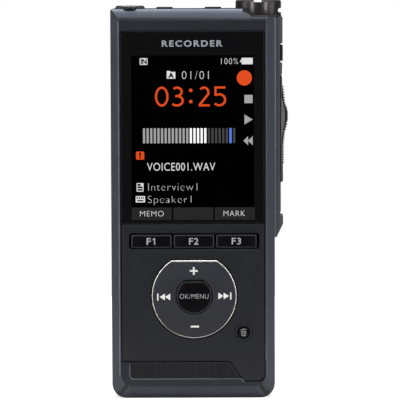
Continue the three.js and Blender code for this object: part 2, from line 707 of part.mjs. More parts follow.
function dockConnector() {
  const { left, right, front, back, bottom, top } = DOCK;
  const shell = cut(
    box(left, right, front, back, bottom, top),
    box(left + 0.6, right - 0.6, front + 0.5, back - 0.5, 0, top - 0.8),
  );
  return join(shell, box(left + 1.6, right - 1.6, -0.1, 0.5, 1.2, top - 0.6));
}

function speakerGasket() {
  const { left, right, bottom, top } = SPEAKER;
  return cut(
    box(left, right, -5.2, -4.7, bottom, top),
    box(left + 1, right - 1, -6, -4, bottom + 1, top - 1),
  );
}

function speakerDriver() {
  const oval = (inset, radius, front, back) => {
    const { left, right, bottom, top } = SPEAKER;
    const outline = roundedRectangle(left + inset, right - inset, bottom + inset, top - inset, radius);
    return solid(alongY(outline, front, back, 3));
  };
  const channel = cut(oval(1.5, 2.4, -5, -3.9), oval(2.3, 1.6, -5.2, -3.7));
  return cut(oval(0, 1.5, -4.4, -2.0), channel);
}

function caseScrew() {
  const head = rod("y", [0, 0], SCREW.seat, SCREW.top, SCREW.head, 16);
  const shank = rod("y", [0, 0], SCREW.tip, SCREW.seat + 0.1, SCREW.shank, 10);
  const floor = SCREW.top - 0.4;
  const cross = [
    box(-0.9, 0.9, floor, SCREW.top + PAST, -0.2, 0.2),
    box(-0.2, 0.2, floor, SCREW.top + PAST, -0.9, 0.9),
  ];
  return cut(join(head, shank), ...cross);
}

// ---- materials ----

function finish(color, roughness, metalness) {
  return new THREE.MeshStandardMaterial({ color, roughness, metalness });
}

const caseMetal = finish(0x3a3d46, 0.42, 0.6);
const blackGlass = finish(0x0b0b0d, 0.08, 0.0);
const panelPlastic = finish(0x232428, 0.5, 0.1);
const keyPlastic = finish(0x121214, 0.4, 0.0);
const darkPlastic = finish(0x1a1a1c, 0.55, 0.0);
const brightMetal = finish(0xb9bcc2, 0.22, 1.0);
const darkMetal = finish(0x4a484a, 0.35, 0.9);
const clearLens = finish(0xd8dde0, 0.05, 0.0);
const rubber = finish(0x202022, 0.85, 0.0);
const boardGreen = finish(0x1d4a2c, 0.6, 0.0);
const steel = finish(0xa2a4a8, 0.3, 1.0);
const copperFoil = finish(0xb87a33, 0.4, 0.6);
const batteryWrap = finish(0x2b2d33, 0.5, 0.0);

// ---- the assembly ----

function piece(name, shape, material, at = [0, 0, 0]) {
  const mesh = new THREE.Mesh(geometryOf(shape), material);
  mesh.name = name;
  mesh.position.set(...at);
  return mesh;
}

function assembly(...members) {
  const group = new THREE.Group();
  group.add(...members);
  return group;
}

const navPlace = [NAV.x, 0, NAV.z];
const erasePlace = [ERASE.x, 0, ERASE.z];

const shells = assembly(
  piece("front_frame", frontFrame(), caseMetal),
  piece("rear_shell", rearShell(), caseMetal),
  piece("top_cap", topCap(), darkPlastic),
  ...SCREWS.map(([x, z], i) => piece(`case_screw_${i + 1}`, caseScrew(), steel, [x, 0, z])),
);

const face = assembly(
  piece("display_window", displayWindow(), blackGlass),
  piece("control_panel", controlPanel(), panelPlastic),
  piece("speaker_grille", speakerGrille(), darkPlastic),
  piece("erase_collar", eraseCollar(), darkMetal, erasePlace),
);

const keys = assembly(
  ...[0, 1, 2].map((index) => piece(`key_f${index + 1}`, functionKey(index), keyPlastic)),
  piece("nav_gimbal", navGimbal(), steel, navPlace),
  piece("nav_ring", navRing(), panelPlastic, navPlace),
  piece("nav_trim", navTrim(), brightMetal, navPlace),
  piece("ok_key", okKey(), keyPlastic, navPlace),
  piece("erase_key", eraseKey(), keyPlastic, erasePlace),
  piece("keypad_mat", keypadMat(), rubber),
  piece("key_board", keyBoard(), boardGreen),
);

const top = assembly(
  piece("led_lens", ledLens(), clearLens),
  piece("led_board", ledBoard(), boardGreen),
  piece("mic_jack", jack(JACKS.mic), darkPlastic),
  piece("ear_jack", jack(JACKS.ear), darkPlastic),
  piece("mic_housing", micHousing(), darkMetal),
  piece("mic_grille", micGrille(), steel),
  piece("mic_capsule", micCapsule(), steel),
  piece("mic_cushion", micCushion(), rubber),
);

const rightSide = assembly(
  piece("side_rail", sideRail(), darkPlastic),
  piece("record_slider", recordSlider(), darkMetal),
  piece("new_button", newButton(), keyPlastic),
  piece("slide_switch", box(18.6, 22.2, -0.7, 2.7, 68, 87), steel),
  piece("new_switch", box(20.5, 22.6, -0.7, 2.5, 103.2, 107.2), steel),
);

const leftSide = assembly(
  piece("card_door", cardDoor(), darkPlastic),
  piece("power_slider", powerSlider(), darkMetal),
  piece("power_switch", box(-22.2, -19.0, -0.7, 2.5, 94, 103), steel),
);

const back = assembly(
  piece("battery_cover", batteryCover(), darkPlastic),
  piece("battery_latch", batteryLatch(), keyPlastic),
  piece("battery", battery(), batteryWrap),
  piece("battery_tray", batteryTray(), darkPlastic),
  piece("battery_contacts", batteryContacts(), brightMetal),
);

const electronics = assembly(
  piece("lcd_panel", displayLayer(DISPLAY.front, DISPLAY.back), blackGlass),
  piece("lcd_backlight", displayLayer(BACKLIGHT.front, BACKLIGHT.back), steel),
  piece("display_flex", displayFlex(), copperFoil),
  piece("main_board", mainBoard(), boardGreen),
  piece("card_socket", cardSocket(), steel),
  piece("memory_card", memoryCard(), darkPlastic),
  piece("usb_socket", usbSocket(), steel),
  piece("dock_connector", dockConnector(), darkPlastic),
  piece("speaker_gasket", speakerGasket(), rubber),
  piece("speaker_driver", speakerDriver(), darkPlastic),
);

const recorder = assembly(shells, face, keys, top, rightSide, leftSide, back, electronics);

export default recorder;
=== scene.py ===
"""A hand-held field recorder: finished surfaces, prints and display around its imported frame."""

import math

import bmesh
import bpy
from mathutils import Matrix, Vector
from mathutils.geometry import tessellate_polygon


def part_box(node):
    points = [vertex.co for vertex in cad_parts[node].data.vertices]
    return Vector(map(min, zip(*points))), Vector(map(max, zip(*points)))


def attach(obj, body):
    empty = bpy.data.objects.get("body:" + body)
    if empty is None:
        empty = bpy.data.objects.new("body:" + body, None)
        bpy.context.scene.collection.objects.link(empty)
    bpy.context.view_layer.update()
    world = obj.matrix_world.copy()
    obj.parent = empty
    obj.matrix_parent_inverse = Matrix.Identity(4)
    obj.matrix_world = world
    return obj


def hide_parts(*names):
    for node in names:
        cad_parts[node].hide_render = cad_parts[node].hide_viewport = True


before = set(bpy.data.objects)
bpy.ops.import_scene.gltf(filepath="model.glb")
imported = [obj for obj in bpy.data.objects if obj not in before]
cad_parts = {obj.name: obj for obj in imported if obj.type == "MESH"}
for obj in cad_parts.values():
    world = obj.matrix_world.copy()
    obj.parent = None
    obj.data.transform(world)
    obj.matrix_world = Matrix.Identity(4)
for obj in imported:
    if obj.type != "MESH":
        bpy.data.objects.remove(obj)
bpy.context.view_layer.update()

MM = 0.001  # everything below is worked out in millimetres and stored in metres


# ---- where the CAD pieces are

class Box:
    """A CAD node's box at rest, in millimetres."""

    def __init__(self, node):
        low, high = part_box(node)
        self.left, self.front, self.bottom = (value / MM for value in low)
        self.right, self.back, self.top = (value / MM for value in high)
        self.x = (self.left + self.right) / 2
        self.z = (self.bottom + self.top) / 2
        self.width = self.right - self.left


CASE = Box("front_frame")
WINDOW = Box("display_window")
PANEL = Box("control_panel")
GRILLE = Box("speaker_grille")
TRIM = Box("nav_trim")
COLLAR = Box("erase_collar")
MIC = Box("mic_housing")
MESH_DOME = Box("mic_grille")
LENS = Box("led_lens")

# the ring key: its trim is a circle with a flat top
NAV_RADIUS = TRIM.width / 2
NAV_X = TRIM.x
NAV_Z = TRIM.bottom + NAV_RADIUS
NAV_FLAT = TRIM.top - NAV_Z
NAV_WELL = NAV_RADIUS + 0.35
TRIM_WIDTH = 0.36
OK_HOLE = 5.7
OK_HOLE_FLAT = 5.1
OK_RADIUS = 5.3
OK_FLAT = 4.35

# the fronts of the ring, centre and function keys
NAV_FACE = -7.7
OK_FACE = -7.6
KEY_FACE = -7.55

# the function keys: the first one's left side, their spacing, size and shared opening
KEY_LEFT = -18.75
KEY_PITCH = 12.95
KEY_WIDTH = 12.1
KEY_LOW = 46.25
KEY_HIGH = 50.05
KEY_EDGE_WIDTH = 0.2
TROUGH_LOW = 45.7
TROUGH_HIGH = 50.7

# the front frame: its flat face, its seam with the rear shell, and the crown along its top bevel
FACE_LEFT = -22.65
FACE_RIGHT = 22.45
BAND_TOP = GRILLE.top + 0.5
SEAM = 24.0
CROWN_LOW = 115.2
CROWN_BACK = 1.8
CROWN_START = 0.41
CROWN_ROWS = 7
NOTCH_CUT = 117.7
NOTCH = 118.68
NOTCH_LEFT = -21.2
NOTCH_RIGHT = -16.7

MIC_SHELF = 116.32
LENS_BASE = 118.25

# the lit area of the display
DISPLAY_WIDTH = 37.2
DISPLAY_HEIGHT = 49.9
DISPLAY_LEFT = WINDOW.x + 0.075 - DISPLAY_WIDTH / 2
DISPLAY_BOTTOM = WINDOW.bottom + 1.05
GLASS = WINDOW.front
INLAY = 0.02  # thickness of one printed or lit layer


# ---- outlines

def bent(x, z, half_width, half_height, start, stop, steps=14):
    """Part of an ellipse, between two angles in degrees."""
    turns = (math.radians(start + (stop - start) * i / steps) for i in range(steps + 1))
    return [(x + half_width * math.cos(a), z + half_height * math.sin(a)) for a in turns]


def arc(x, z, radius, start, stop, steps=12):
    return bent(x, z, radius, radius, start, stop, steps)


def rounded(left, right, bottom, top, radius, steps=6):
    """A rectangle with round corners, counter-clockwise from its lower right."""
    return (arc(right - radius, bottom + radius, radius, -90, 0, steps)
            + arc(right - radius, top - radius, radius, 0, 90, steps)
            + arc(left + radius, top - radius, radius, 90, 180, steps)
            + arc(left + radius, bottom + radius, radius, 180, 270, steps))


def circle(x, z, radius, steps=32):
    return arc(x, z, radius, 0, 360, steps)[:-1]


def flat_disc(x, z, radius, flat, steps=96):
    """A circle with its top sliced flat."""
    slice_angle = math.degrees(math.asin(flat / radius))
    return arc(x, z, radius, 180 - slice_angle, 360 + slice_angle, steps)


def ellipse(x, z, half_width, half_height, steps=56):
    return bent(x, z, half_width, half_height, 0, 360, steps)[:-1]


def bar(left, right, bottom, top):
    return [(left, bottom), (right, bottom), (right, top), (left, top)]


def tilted(outline, x, z, degrees):
    """The outline turned about a point."""
    c = math.cos(math.radians(degrees))
    s = math.sin(math.radians(degrees))
    return [(x + (u - x) * c - (v - z) * s, z + (u - x) * s + (v - z) * c) for u, v in outline]


def counter_clockwise(outline):
    pairs = zip(outline, outline[1:] + outline[:1])
    area = sum(a[0] * b[1] - b[0] * a[1] for a, b in pairs)
    return outline if area > 0 else outline[::-1]


def toward(start, end):
    return Vector((end[0] - start[0], end[1] - start[1]))


def pulled_in(outline, distance):
    """The outline moved sideways to the left of its own direction, with mitred corners."""
    if distance == 0:
        return outline
    result = []
    for before, here, after in zip(outline[-1:] + outline[:-1], outline, outline[1:] + outline[:1]):
        into = toward(before, here).normalized()
        out = toward(here, after).normalized()
        normal_in = Vector((-into.y, into.x))
        mitre = normal_in + Vector((-out.y, out.x))
        mitre = mitre.normalized() if mitre.length > 1e-6 else normal_in
        reach = distance / max(mitre.dot(normal_in), 0.35)
        result.append((here[0] + mitre.x * reach, here[1] + mitre.y * reach))
    return result


def stroked(path, width):
    """The outline of a line of even width along a path."""
    left = []
    right = []
    for before, here, after in zip(path[:1] + path[:-1], path, path[1:] + path[-1:]):
        into = toward(before, here)
        out = toward(here, after)
        into = (into if into.length else out).normalized()
        out = (out if out.length else into).normalized()
        along = (into + out).normalized()
        reach = width / 2 / max(along.dot(into), 0.5)
        left.append((here[0] - along.y * reach, here[1] + along.x * reach))
        right.append((here[0] + along.y * reach, here[1] - along.x * reach))
    return left + right[::-1]


# ---- meshes

PLANES = {
    "xz": lambda u, v, w: (u, w, v),
    "xy": lambda u, v, w: (u, v, w),
}


def new_object(name, shape, smooth_angle=32):
    """An object from a bmesh in millimetres, smooth except along edges sharper than the angle."""
    bmesh.ops.remove_doubles(shape, verts=shape.verts, dist=1e-5)
    bmesh.ops.recalc_face_normals(shape, faces=shape.faces)
    bmesh.ops.scale(shape, vec=Vector((MM, MM, MM)), verts=shape.verts)
    mesh = bpy.data.meshes.new(name)
    shape.to_mesh(mesh)
    shape.free()
    mesh.shade_smooth()
    mesh.set_sharp_from_angle(angle=math.radians(smooth_angle))
    return linked(name, mesh)


def linked(name, data):
    """A new object in the scene."""
    thing = bpy.data.objects.new(name, data)
    bpy.context.scene.collection.objects.link(thing)
    return thing


def add_plate(shape, outline, holes, front, back, edge=0.0, steps=2, plane="xz"):
    """A slab between front and back. Its front rim is rounded by edge, in so many steps."""
    place = PLANES[plane]
    loops = [counter_clockwise(outline)] + [counter_clockwise(hole)[::-1] for hole in holes]
    levels = []
    for i in range(steps + 1 if edge else 1):
        angle = math.pi / 2 * i / steps
        levels.append((edge * (1 - math.sin(angle)), front + edge * (1 - math.cos(angle))))
    levels.append((0.0, back))
    rows = []
    for inset, depth in levels:
        rings = (pulled_in(loop, inset) for loop in loops)
        rows.append([[shape.verts.new(place(u, v, depth)) for u, v in ring] for ring in rings])
    for upper, lower in zip(rows, rows[1:]):
        for ring_a, ring_b in zip(upper, lower):
            for i in range(len(ring_a)):
                shape.faces.new((ring_a[i - 1], ring_a[i], ring_b[i], ring_b[i - 1]))
    for row in (rows[0], rows[-1]):
        corners = [vert for ring in row for vert in ring]
        for triangle in tessellate_polygon([[vert.co for vert in ring] for ring in row]):
            try:
                shape.faces.new([corners[i] for i in triangle])
            except ValueError:
                pass


def plate(name, outline, front, back, holes=(), edge=0.0, steps=2, plane="xz"):
    shape = bmesh.new()
    add_plate(shape, outline, holes, front, back, edge, steps, plane)
    return new_object(name, shape)


def prints(name, outlines, front, origin=(0, 0)):
    """Several thin flat marks in one piece. An entry is an outline, or a pair of outline and holes."""
    shape = bmesh.new()
    for entry in outlines:
        outline, holes = entry if isinstance(entry, tuple) else (entry, ())
        add_plate(shape, outline, holes, front, front + INLAY)
    bmesh.ops.translate(shape, vec=(origin[0], 0, origin[1]), verts=shape.verts)
    return new_object(name, shape)


def revolve(name, profile, centre, segments=96):
    """A turned piece about a vertical axis. The profile is (radius, height) from axis to axis."""
    shape = bmesh.new()
    x, y, z = centre
    rings = []
    for radius, height in profile:
        points = circle(x, y, radius, segments) if radius > 1e-6 else [(x, y)]
        rings.append([shape.verts.new((u, v, z + height)) for u, v in points])
    for lower, upper in zip(rings, rings[1:]):
        for i in range(segments):
            corners = [lower[i % len(lower)], lower[(i + 1) % len(lower)],
                       upper[(i + 1) % len(upper)], upper[i % len(upper)]]
            unique = list(dict.fromkeys(corners))
            if len(unique) > 2:
                shape.faces.new(unique)
    return new_object(name, shape)


def applied(piece):
    """The same piece with its modifiers made real."""
    graph = bpy.context.evaluated_depsgraph_get()
    mesh = bpy.data.meshes.new_from_object(piece.evaluated_get(graph))
    piece.modifiers.clear()
    piece.data = mesh
    return piece


def cut_away(piece, *cutters):
    """The piece less the cutters, which are removed."""
    for cutter in cutters:
        cut = piece.modifiers.new("cut", "BOOLEAN")
        cut.operation = "DIFFERENCE"
        cut.solver = "EXACT"
        cut.object = cutter
    applied(piece)
    for cutter in cutters:
        bpy.data.objects.remove(cutter)
    return smoothed(piece)


def smoothed(piece, angle=32):
    piece.data.shade_smooth()
    piece.data.set_sharp_from_angle(angle=math.radians(angle))
    return piece


def softened(node, width, shaping=None, angle=24, highlighted=None):
    """A finer copy of a CAD node: flat faces joined up, then every sharp edge rounded by width.

    Where the given test says so, the rounded edges take the piece's second material, a lighter paint that is
    a painted highlight.
    """
    shape = bmesh.new()
    shape.from_mesh(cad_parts[node].data)
    bmesh.ops.scale(shape, vec=Vector((1 / MM, 1 / MM, 1 / MM)), verts=shape.verts)
    bmesh.ops.remove_doubles(shape, verts=shape.verts, dist=2e-4)
    bmesh.ops.dissolve_limit(shape, angle_limit=math.radians(1.0), verts=shape.verts, edges=shape.edges)
    if shaping:
        shaping(shape)
    for face in shape.faces:
        face.material_index = 0
    piece = new_object(f"{node}_finish", shape)
    piece.data.materials.append(PAINT)
    piece.data.materials.append(EDGE_HIGHLIGHT_PAINT)
    rounding = piece.modifiers.new("rounding", "BEVEL")
    rounding.width = width * MM
    rounding.segments = 2
    rounding.limit_method = "ANGLE"
    rounding.angle_limit = math.radians(angle)
    rounding.use_clamp_overlap = True
    # the rounded edges take the lighter paint, a painted highlight, unless reset below
    rounding.material = 1
    applied(piece)
    for face in piece.data.polygons:
        x, y, z = face.center / MM
        if face.material_index == 1 and not (highlighted and highlighted(x, y, z)):
            face.material_index = 0
    smoothed(piece, 50)
    flattening = piece.modifiers.new("flattening", "WEIGHTED_NORMAL")
    flattening.keep_sharp = True
    applied(piece)
    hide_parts(node)
    return piece


def lettering(name, words, left, right, bottom, top, front, weight=0.0, spacing=1.0):
    """Flat letters whose own box is stretched to fill the box given, in millimetres."""
    curve = bpy.data.curves.new(name, "FONT")
    curve.body = words
    curve.size = 1.0
    curve.space_character = spacing
    curve.offset = weight
    curve.resolution_u = 4
    holder = linked(name, curve)
    graph = bpy.context.evaluated_depsgraph_get()
    mesh = bpy.data.meshes.new_from_object(holder.evaluated_get(graph))
    bpy.data.objects.remove(holder)
    shape = bmesh.new()
    shape.from_mesh(mesh)
    bmesh.ops.remove_doubles(shape, verts=shape.verts, dist=1e-5)
    us = sorted(vert.co.x for vert in shape.verts)
    vs = sorted(vert.co.y for vert in shape.verts)
    wide = (right - left) / (us[-1] - us[0])
    tall = (top - bottom) / (vs[-1] - vs[0])
    for vert in shape.verts:
        vert.co = (left + (vert.co.x - us[0]) * wide, front + INLAY, bottom + (vert.co.y - vs[0]) * tall)
    copies = bmesh.ops.extrude_face_region(shape, geom=list(shape.faces))["geom"]
    for vert in (item for item in copies if isinstance(item, bmesh.types.BMVert)):
        vert.co.y -= INLAY
    return new_object(name, shape)


def finished(piece, material, body="case", slot=None, *replaced):
    """Gives a piece its material and body, and hides the CAD nodes it stands for. Its slot is not used."""
    if not piece.data.materials:
        piece.data.materials.append(material)
    piece.data.materials[0] = material
    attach(piece, body)
    if replaced:
        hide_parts(*replaced)
    return piece


# ---- material tools

def shade(color, factor):
    return tuple(channel * factor for channel in color)


class Surface:
    """A Principled material whose colour, gloss and relief follow patterns in object space.

    A pattern is a noise, as (scale, detail) or (scale, detail, stretch), or round cells, as their scale.
    """

    def __init__(self, name, color, roughness, metallic=0.0, specular=0.5):
        self.material = bpy.data.materials.new(name)
        self.material.use_nodes = True
        self.nodes = self.material.node_tree.nodes
        self.links = self.material.node_tree.links
        self.shader = self.nodes["Principled BSDF"]
        self.color = color
        self.place = self.nodes.new("ShaderNodeTexCoord").outputs["Object"]
        self.height = None
        self.set("Base Color", (*color, 1)).set("Roughness", roughness)
        self.set("Metallic", metallic).set("Specular IOR Level", specular)

    def set(self, socket, value):
        self.shader.inputs[socket].default_value = value
        return self

    def node(self, kind, **sockets):
        """A new node. What a socket is given is a value or another node's output."""
        made = self.nodes.new(kind)
        for name, given in sockets.items():
            socket = made.inputs[name.replace("_", " ")]
            if isinstance(given, bpy.types.NodeSocket):
                self.links.new(given, socket)
            else:
                socket.default_value = given
        return made

    def pattern(self, given):
        if not isinstance(given, tuple):
            return self.node("ShaderNodeTexVoronoi", Scale=given, Vector=self.place).outputs["Distance"]
        scale, detail, stretch = (*given, (1, 1, 1))[:3]
        spot = self.node("ShaderNodeMapping", Scale=stretch, Vector=self.place).outputs["Vector"]
        return self.node("ShaderNodeTexNoise", Scale=scale, Detail=detail, Vector=spot).outputs["Fac"]

    def level(self):
        """Height above the base, in metres."""
        return self.node("ShaderNodeSeparateXYZ", Vector=self.place).outputs["Z"]

    def spread(self, factor, low, high, start=0.3, stop=0.7):
        """A value that runs from low to high while the factor runs from start to stop."""
        span = self.node("ShaderNodeMapRange", Value=factor, From_Min=start, From_Max=stop,
                         To_Min=low, To_Max=high)
        return span.outputs["Result"]

    def tint(self, factor, low, high, start=0.3, stop=0.7):
        """Base colour between two colours, by a factor."""
        mix = self.nodes.new("ShaderNodeMix")
        mix.data_type = "RGBA"
        mix.inputs["A"].default_value = (*low, 1)
        mix.inputs["B"].default_value = (*high, 1)
        self.links.new(self.spread(factor, 0, 1, start, stop), mix.inputs["Factor"])
        self.links.new(mix.outputs["Result"], self.shader.inputs["Base Color"])
        return self

    def mottle(self, given, low, high, start=0.3, stop=0.7):
        """Base colour between two shades of itself, by a pattern."""
        return self.tint(self.pattern(given), shade(self.color, low), shade(self.color, high), start, stop)

    def flake(self):
        """The fine sparkle of a metallic paint."""
        return self.mottle((9000, 1), 0.86, 1.16, 0.25, 0.75)

    def polish(self, given, low, high):
        """Roughness between two values, by a pattern."""
        self.links.new(self.spread(self.pattern(given), low, high), self.shader.inputs["Roughness"])
        return self

    def relief(self, given, depth, strength):
        """A fine bump, depth in millimetres. Further calls stack on the first."""
        bump = self.node("ShaderNodeBump", Strength=strength, Distance=depth * MM, Height=self.pattern(given))
        if self.height:
            self.links.new(self.height, bump.inputs["Normal"])
        self.height = bump.outputs["Normal"]
        self.links.new(self.height, self.shader.inputs["Normal"])
        return self


# ---- materials

def metallic_paint(name, color):
    """Fine flake in the colour, a trace of orange peel, wiped-down gloss."""
    paint = Surface(name, color, 0.36, 0.8)
    return paint.flake().polish((120, 4), 0.33, 0.40).relief((5200, 2), 0.0022, 0.5).material


def case_paint():
    """Slate metallic paint."""
    return metallic_paint("case_paint", (0.052, 0.0575, 0.0745))


def edge_highlight_paint():
    """The case paint made lighter along edges: a painted highlight."""
    paint = Surface("edge_highlight_paint", (0.13, 0.137, 0.158), 0.3, 0.8).mottle((500, 4), 0.8, 1.2)
    return paint.polish((900, 3), 0.26, 0.36).relief((5200, 2), 0.002, 0.4).material


def shaded_paint():
    """The case paint darkened for the lower corner facets: a painted shade."""
    paint = Surface("shaded_paint", (0.026, 0.0265, 0.03), 0.45, 0.7).mottle((900, 3), 0.8, 1.2)
    return paint.polish((400, 3), 0.4, 0.52).relief((5200, 2), 0.002, 0.4).material


def face_shade_paint():
    """The flat band under the grille: the case paint, darker and bluer, as a painted shade."""
    return metallic_paint("face_shade_paint", (0.029, 0.0315, 0.043))


def brightened_rail_paint():
    """The side rail's coat: the case colour, less metallic, and made lighter as painted light."""
    paint = Surface("brightened_rail_paint", (0.115, 0.12, 0.138), 0.42, 0.45)
    return paint.flake().polish((200, 4), 0.38, 0.48).relief((5200, 2), 0.002, 0.4).material


def highlight_bead_finish():
    """A thin bright strip along the front of the rail's joint: a painted highlight."""
    bead = Surface("highlight_bead_finish", (0.3, 0.325, 0.38), 0.34, 0.85)
    return bead.mottle((600, 3), 0.85, 1.1).polish((900, 3), 0.3, 0.4).material


def cheek_finish():
    """The slide's smooth cheeks, a warm mid grey."""
    cheek = Surface("cheek_finish", (0.15, 0.138, 0.142), 0.5).mottle((300, 3), 0.9, 1.08)
    return cheek.polish((420, 3), 0.44, 0.56).relief((5000, 2), 0.003, 0.4).material


def grille_finish():
    """The grille strip: dull charcoal with a drawn vertical grain."""
    drawn = (700, 2, (2.2, 1, 0.12))
    strip = Surface("grille_finish", (0.0085, 0.009, 0.0115), 0.6, specular=0.25)
    strip.mottle(drawn, 0.6, 1.4, 0.35, 0.65)
    return strip.polish((600, 3), 0.55, 0.66).relief(drawn, 0.01, 0.4).material


def panel_finish():
    """Satin charcoal plastic with a very fine spark-eroded grain."""
    panel = Surface("panel_finish", (0.0125, 0.0135, 0.0178), 0.5, specular=0.2)
    return panel.mottle((70, 3), 0.93, 1.08).polish((900, 3), 0.46, 0.56).relief(6500, 0.004, 0.35).material


def ring_finish():
    """The ring key's face, a little lighter and finer than the panel."""
    ring = Surface("ring_finish", (0.026, 0.0272, 0.034), 0.46, specular=0.2)
    return ring.mottle((90, 3), 0.95, 1.06).polish((700, 3), 0.42, 0.5).relief(7000, 0.003, 0.3).material


def key_finish():
    """Near-black keys with a soft gloss and faint finger wear."""
    key = Surface("key_finish", (0.0022, 0.0023, 0.0034), 0.3, specular=0.12)
    return key.polish((160, 4), 0.26, 0.38).relief((4200, 2), 0.002, 0.3).material


def key_edge_finish():
    """The lighter ground edge round a key."""
    edge = Surface("key_edge_finish", (0.07, 0.07, 0.075), 0.35)
    return edge.polish((300, 3), 0.3, 0.42).relief((4200, 2), 0.002, 0.3).material


def dark_plastic_finish():
    """Matte black moulded plastic with a fine texture."""
    plastic = Surface("dark_plastic_finish", (0.0095, 0.0095, 0.0105), 0.55)
    return plastic.mottle((140, 3), 0.85, 1.15).polish((600, 3), 0.5, 0.64).relief(4200, 0.006, 0.4).material


def rail_finish():
    """The slide and the button on the rail: charcoal, satin, slightly worn."""
    rail = Surface("rail_finish", (0.026, 0.0275, 0.03), 0.42, 0.25).mottle((160, 4), 0.85, 1.15)
    return rail.polish((420, 3), 0.36, 0.5).relief((5000, 2), 0.003, 0.4).material


def cover_finish():
    """The battery cover: charcoal plastic with a leather-like moulded grain."""
    cover = Surface("cover_finish", (0.017, 0.0175, 0.02), 0.58)
    cover.mottle((90, 3), 0.9, 1.12).polish((500, 3), 0.52, 0.66)
    return cover.relief(2100, 0.02, 0.5).relief((6000, 2), 0.003, 0.4).material


def glass_finish():
    """The display window: printed black behind a hard glossy front."""
    glass = Surface("glass_finish", (0.0022, 0.0022, 0.0028), 0.07, specular=0.35)
    return glass.polish((60, 4), 0.05, 0.1).relief((40, 2), 0.0006, 0.2).material


def screen_finish():
    """The unlit part of the display: black, with a very fine pixel grid."""
    screen = Surface("screen_finish", (0.0002, 0.0002, 0.0005), 0.2, specular=0.02)
    return screen.polish((60, 2), 0.16, 0.24).relief((9000, 1), 0.0005, 0.15).material


def lit(name, color):
    """A lit part of the display. Its light is even, with the panel's faint grain."""
    glow = Surface(name, shade(color, 0.05), 0.4, specular=0.1)
    glow.set("Emission Color", (*color, 1)).set("Emission Strength", 1)
    return glow.relief((8000, 1), 0.0005, 0.2).material


def print_ink(name, color):
    """Pad-printed ink, slightly uneven."""
    ink = Surface(name, color, 0.5).mottle((1500, 3), 0.9, 1.08)
    return ink.polish((2400, 2), 0.44, 0.58).relief((5000, 2), 0.002, 0.3).material


def chrome_finish():
    """The bright trim: polished metal, darker toward its foot as painted shade, with hairline handling marks.
    """
    color = (0.97, 0.96, 0.95)
    chrome = Surface("chrome_finish", color, 0.24, 0.9)
    # bright at the top and darker toward the foot: painted shade
    chrome.tint(chrome.level(), shade(color, 0.22), color, TRIM.bottom * MM, TRIM.top * MM)
    return chrome.polish((300, 5), 0.2, 0.32).relief((3000, 2, (1, 1, 6)), 0.001, 0.3).material


def turned_metal_finish():
    """Dark anodised metal, turned on a lathe: fine rings about the vertical axis."""
    rings = (900, 2, (0.15, 0.15, 14))
    metal = Surface("turned_metal_finish", (0.092, 0.086, 0.09), 0.3, 0.95)
    return metal.mottle((200, 3), 0.9, 1.1).polish(rings, 0.25, 0.34).relief(rings, 0.002, 0.2).material


def steel_finish():
    """Satin stainless steel."""
    brushed = (600, 3, (8, 1, 1))
    steel = Surface("steel_finish", (0.48, 0.48, 0.49), 0.3, 1)
    return steel.polish(brushed, 0.24, 0.4).relief(brushed, 0.002, 0.3).material


def screw_finish():
    """Blackened steel screws with bright wear in the cross."""
    screw = Surface("screw_finish", (0.09, 0.09, 0.095), 0.35, 0.9)
    screw.mottle((900, 4), 0.7, 2.2, 0.45, 0.85)
    return screw.polish((1200, 3), 0.26, 0.45).relief((3000, 2), 0.004, 0.4).material


def lens_finish():
    """The record light's lens: clear, faintly smoked, highly polished."""
    lens = Surface("lens_finish", (0.05, 0.058, 0.056), 0.04)
    lens.set("Transmission Weight", 0.35).set("IOR", 1.49)
    return lens.polish((90, 3), 0.03, 0.07).relief((70, 2), 0.002, 0.2).material


def mesh_finish():
    """The microphone's pale wire mesh."""
    wire = Surface("mesh_finish", (0.6, 0.58, 0.58), 0.32, 1)
    return wire.polish((900, 3), 0.26, 0.42).relief((4000, 2), 0.002, 0.3).material


def rubber_finish():
    """Matt black rubber."""
    rubber = Surface("rubber_finish", (0.014, 0.014, 0.015), 0.8)
    return rubber.mottle((300, 3), 0.8, 1.3).relief((2600, 3), 0.01, 0.5).material


def board_finish():
    """Green solder resist over faint copper tracks."""
    tracks = (900, 0, (1, 1, 6))
    color = (0.012, 0.075, 0.03)
    board = Surface("board_finish", color, 0.35)
    board.tint(board.pattern(tracks), color, (0.03, 0.14, 0.05), 0.5, 0.53)
    return board.polish((400, 3), 0.3, 0.45).relief(tracks, 0.01, 0.4).material


def wrap_finish():
    """The battery's printed film."""
    wrap = Surface("wrap_finish", (0.045, 0.05, 0.062), 0.38)
    return wrap.mottle((40, 3), 0.93, 1.07).polish((200, 4), 0.32, 0.48).relief((260, 3), 0.01, 0.3).material


def gold_finish():
    """Gold-plated contacts."""
    gold = Surface("gold_finish", (0.75, 0.5, 0.18), 0.25, 1)
    return gold.polish((700, 3), 0.2, 0.34).relief((2500, 2), 0.002, 0.3).material


def film_finish():
    """The amber film of a flexible circuit, with its tracks."""
    tracks = (700, 0, (9, 1, 1))
    film = Surface("film_finish", (0.42, 0.17, 0.035), 0.3).mottle(tracks, 0.75, 1, 0.48, 0.52)
    return film.polish((300, 3), 0.25, 0.38).relief(tracks, 0.008, 0.3).material


def floor_finish():
    """A pale floor that glows evenly for the camera, so the contact shadow stays soft."""
    ground = Surface("floor_finish", (0.68, 0.635, 0.59), 0.7, specular=0.1)
    ground.mottle((6, 3), 0.99, 1).set("Emission Color", (1, 1, 1, 1))
    seen = ground.nodes.new("ShaderNodeLightPath").outputs["Is Camera Ray"]
    ground.links.new(ground.spread(seen, 0, 0.62, 0, 1), ground.shader.inputs["Emission Strength"])
    return ground.material


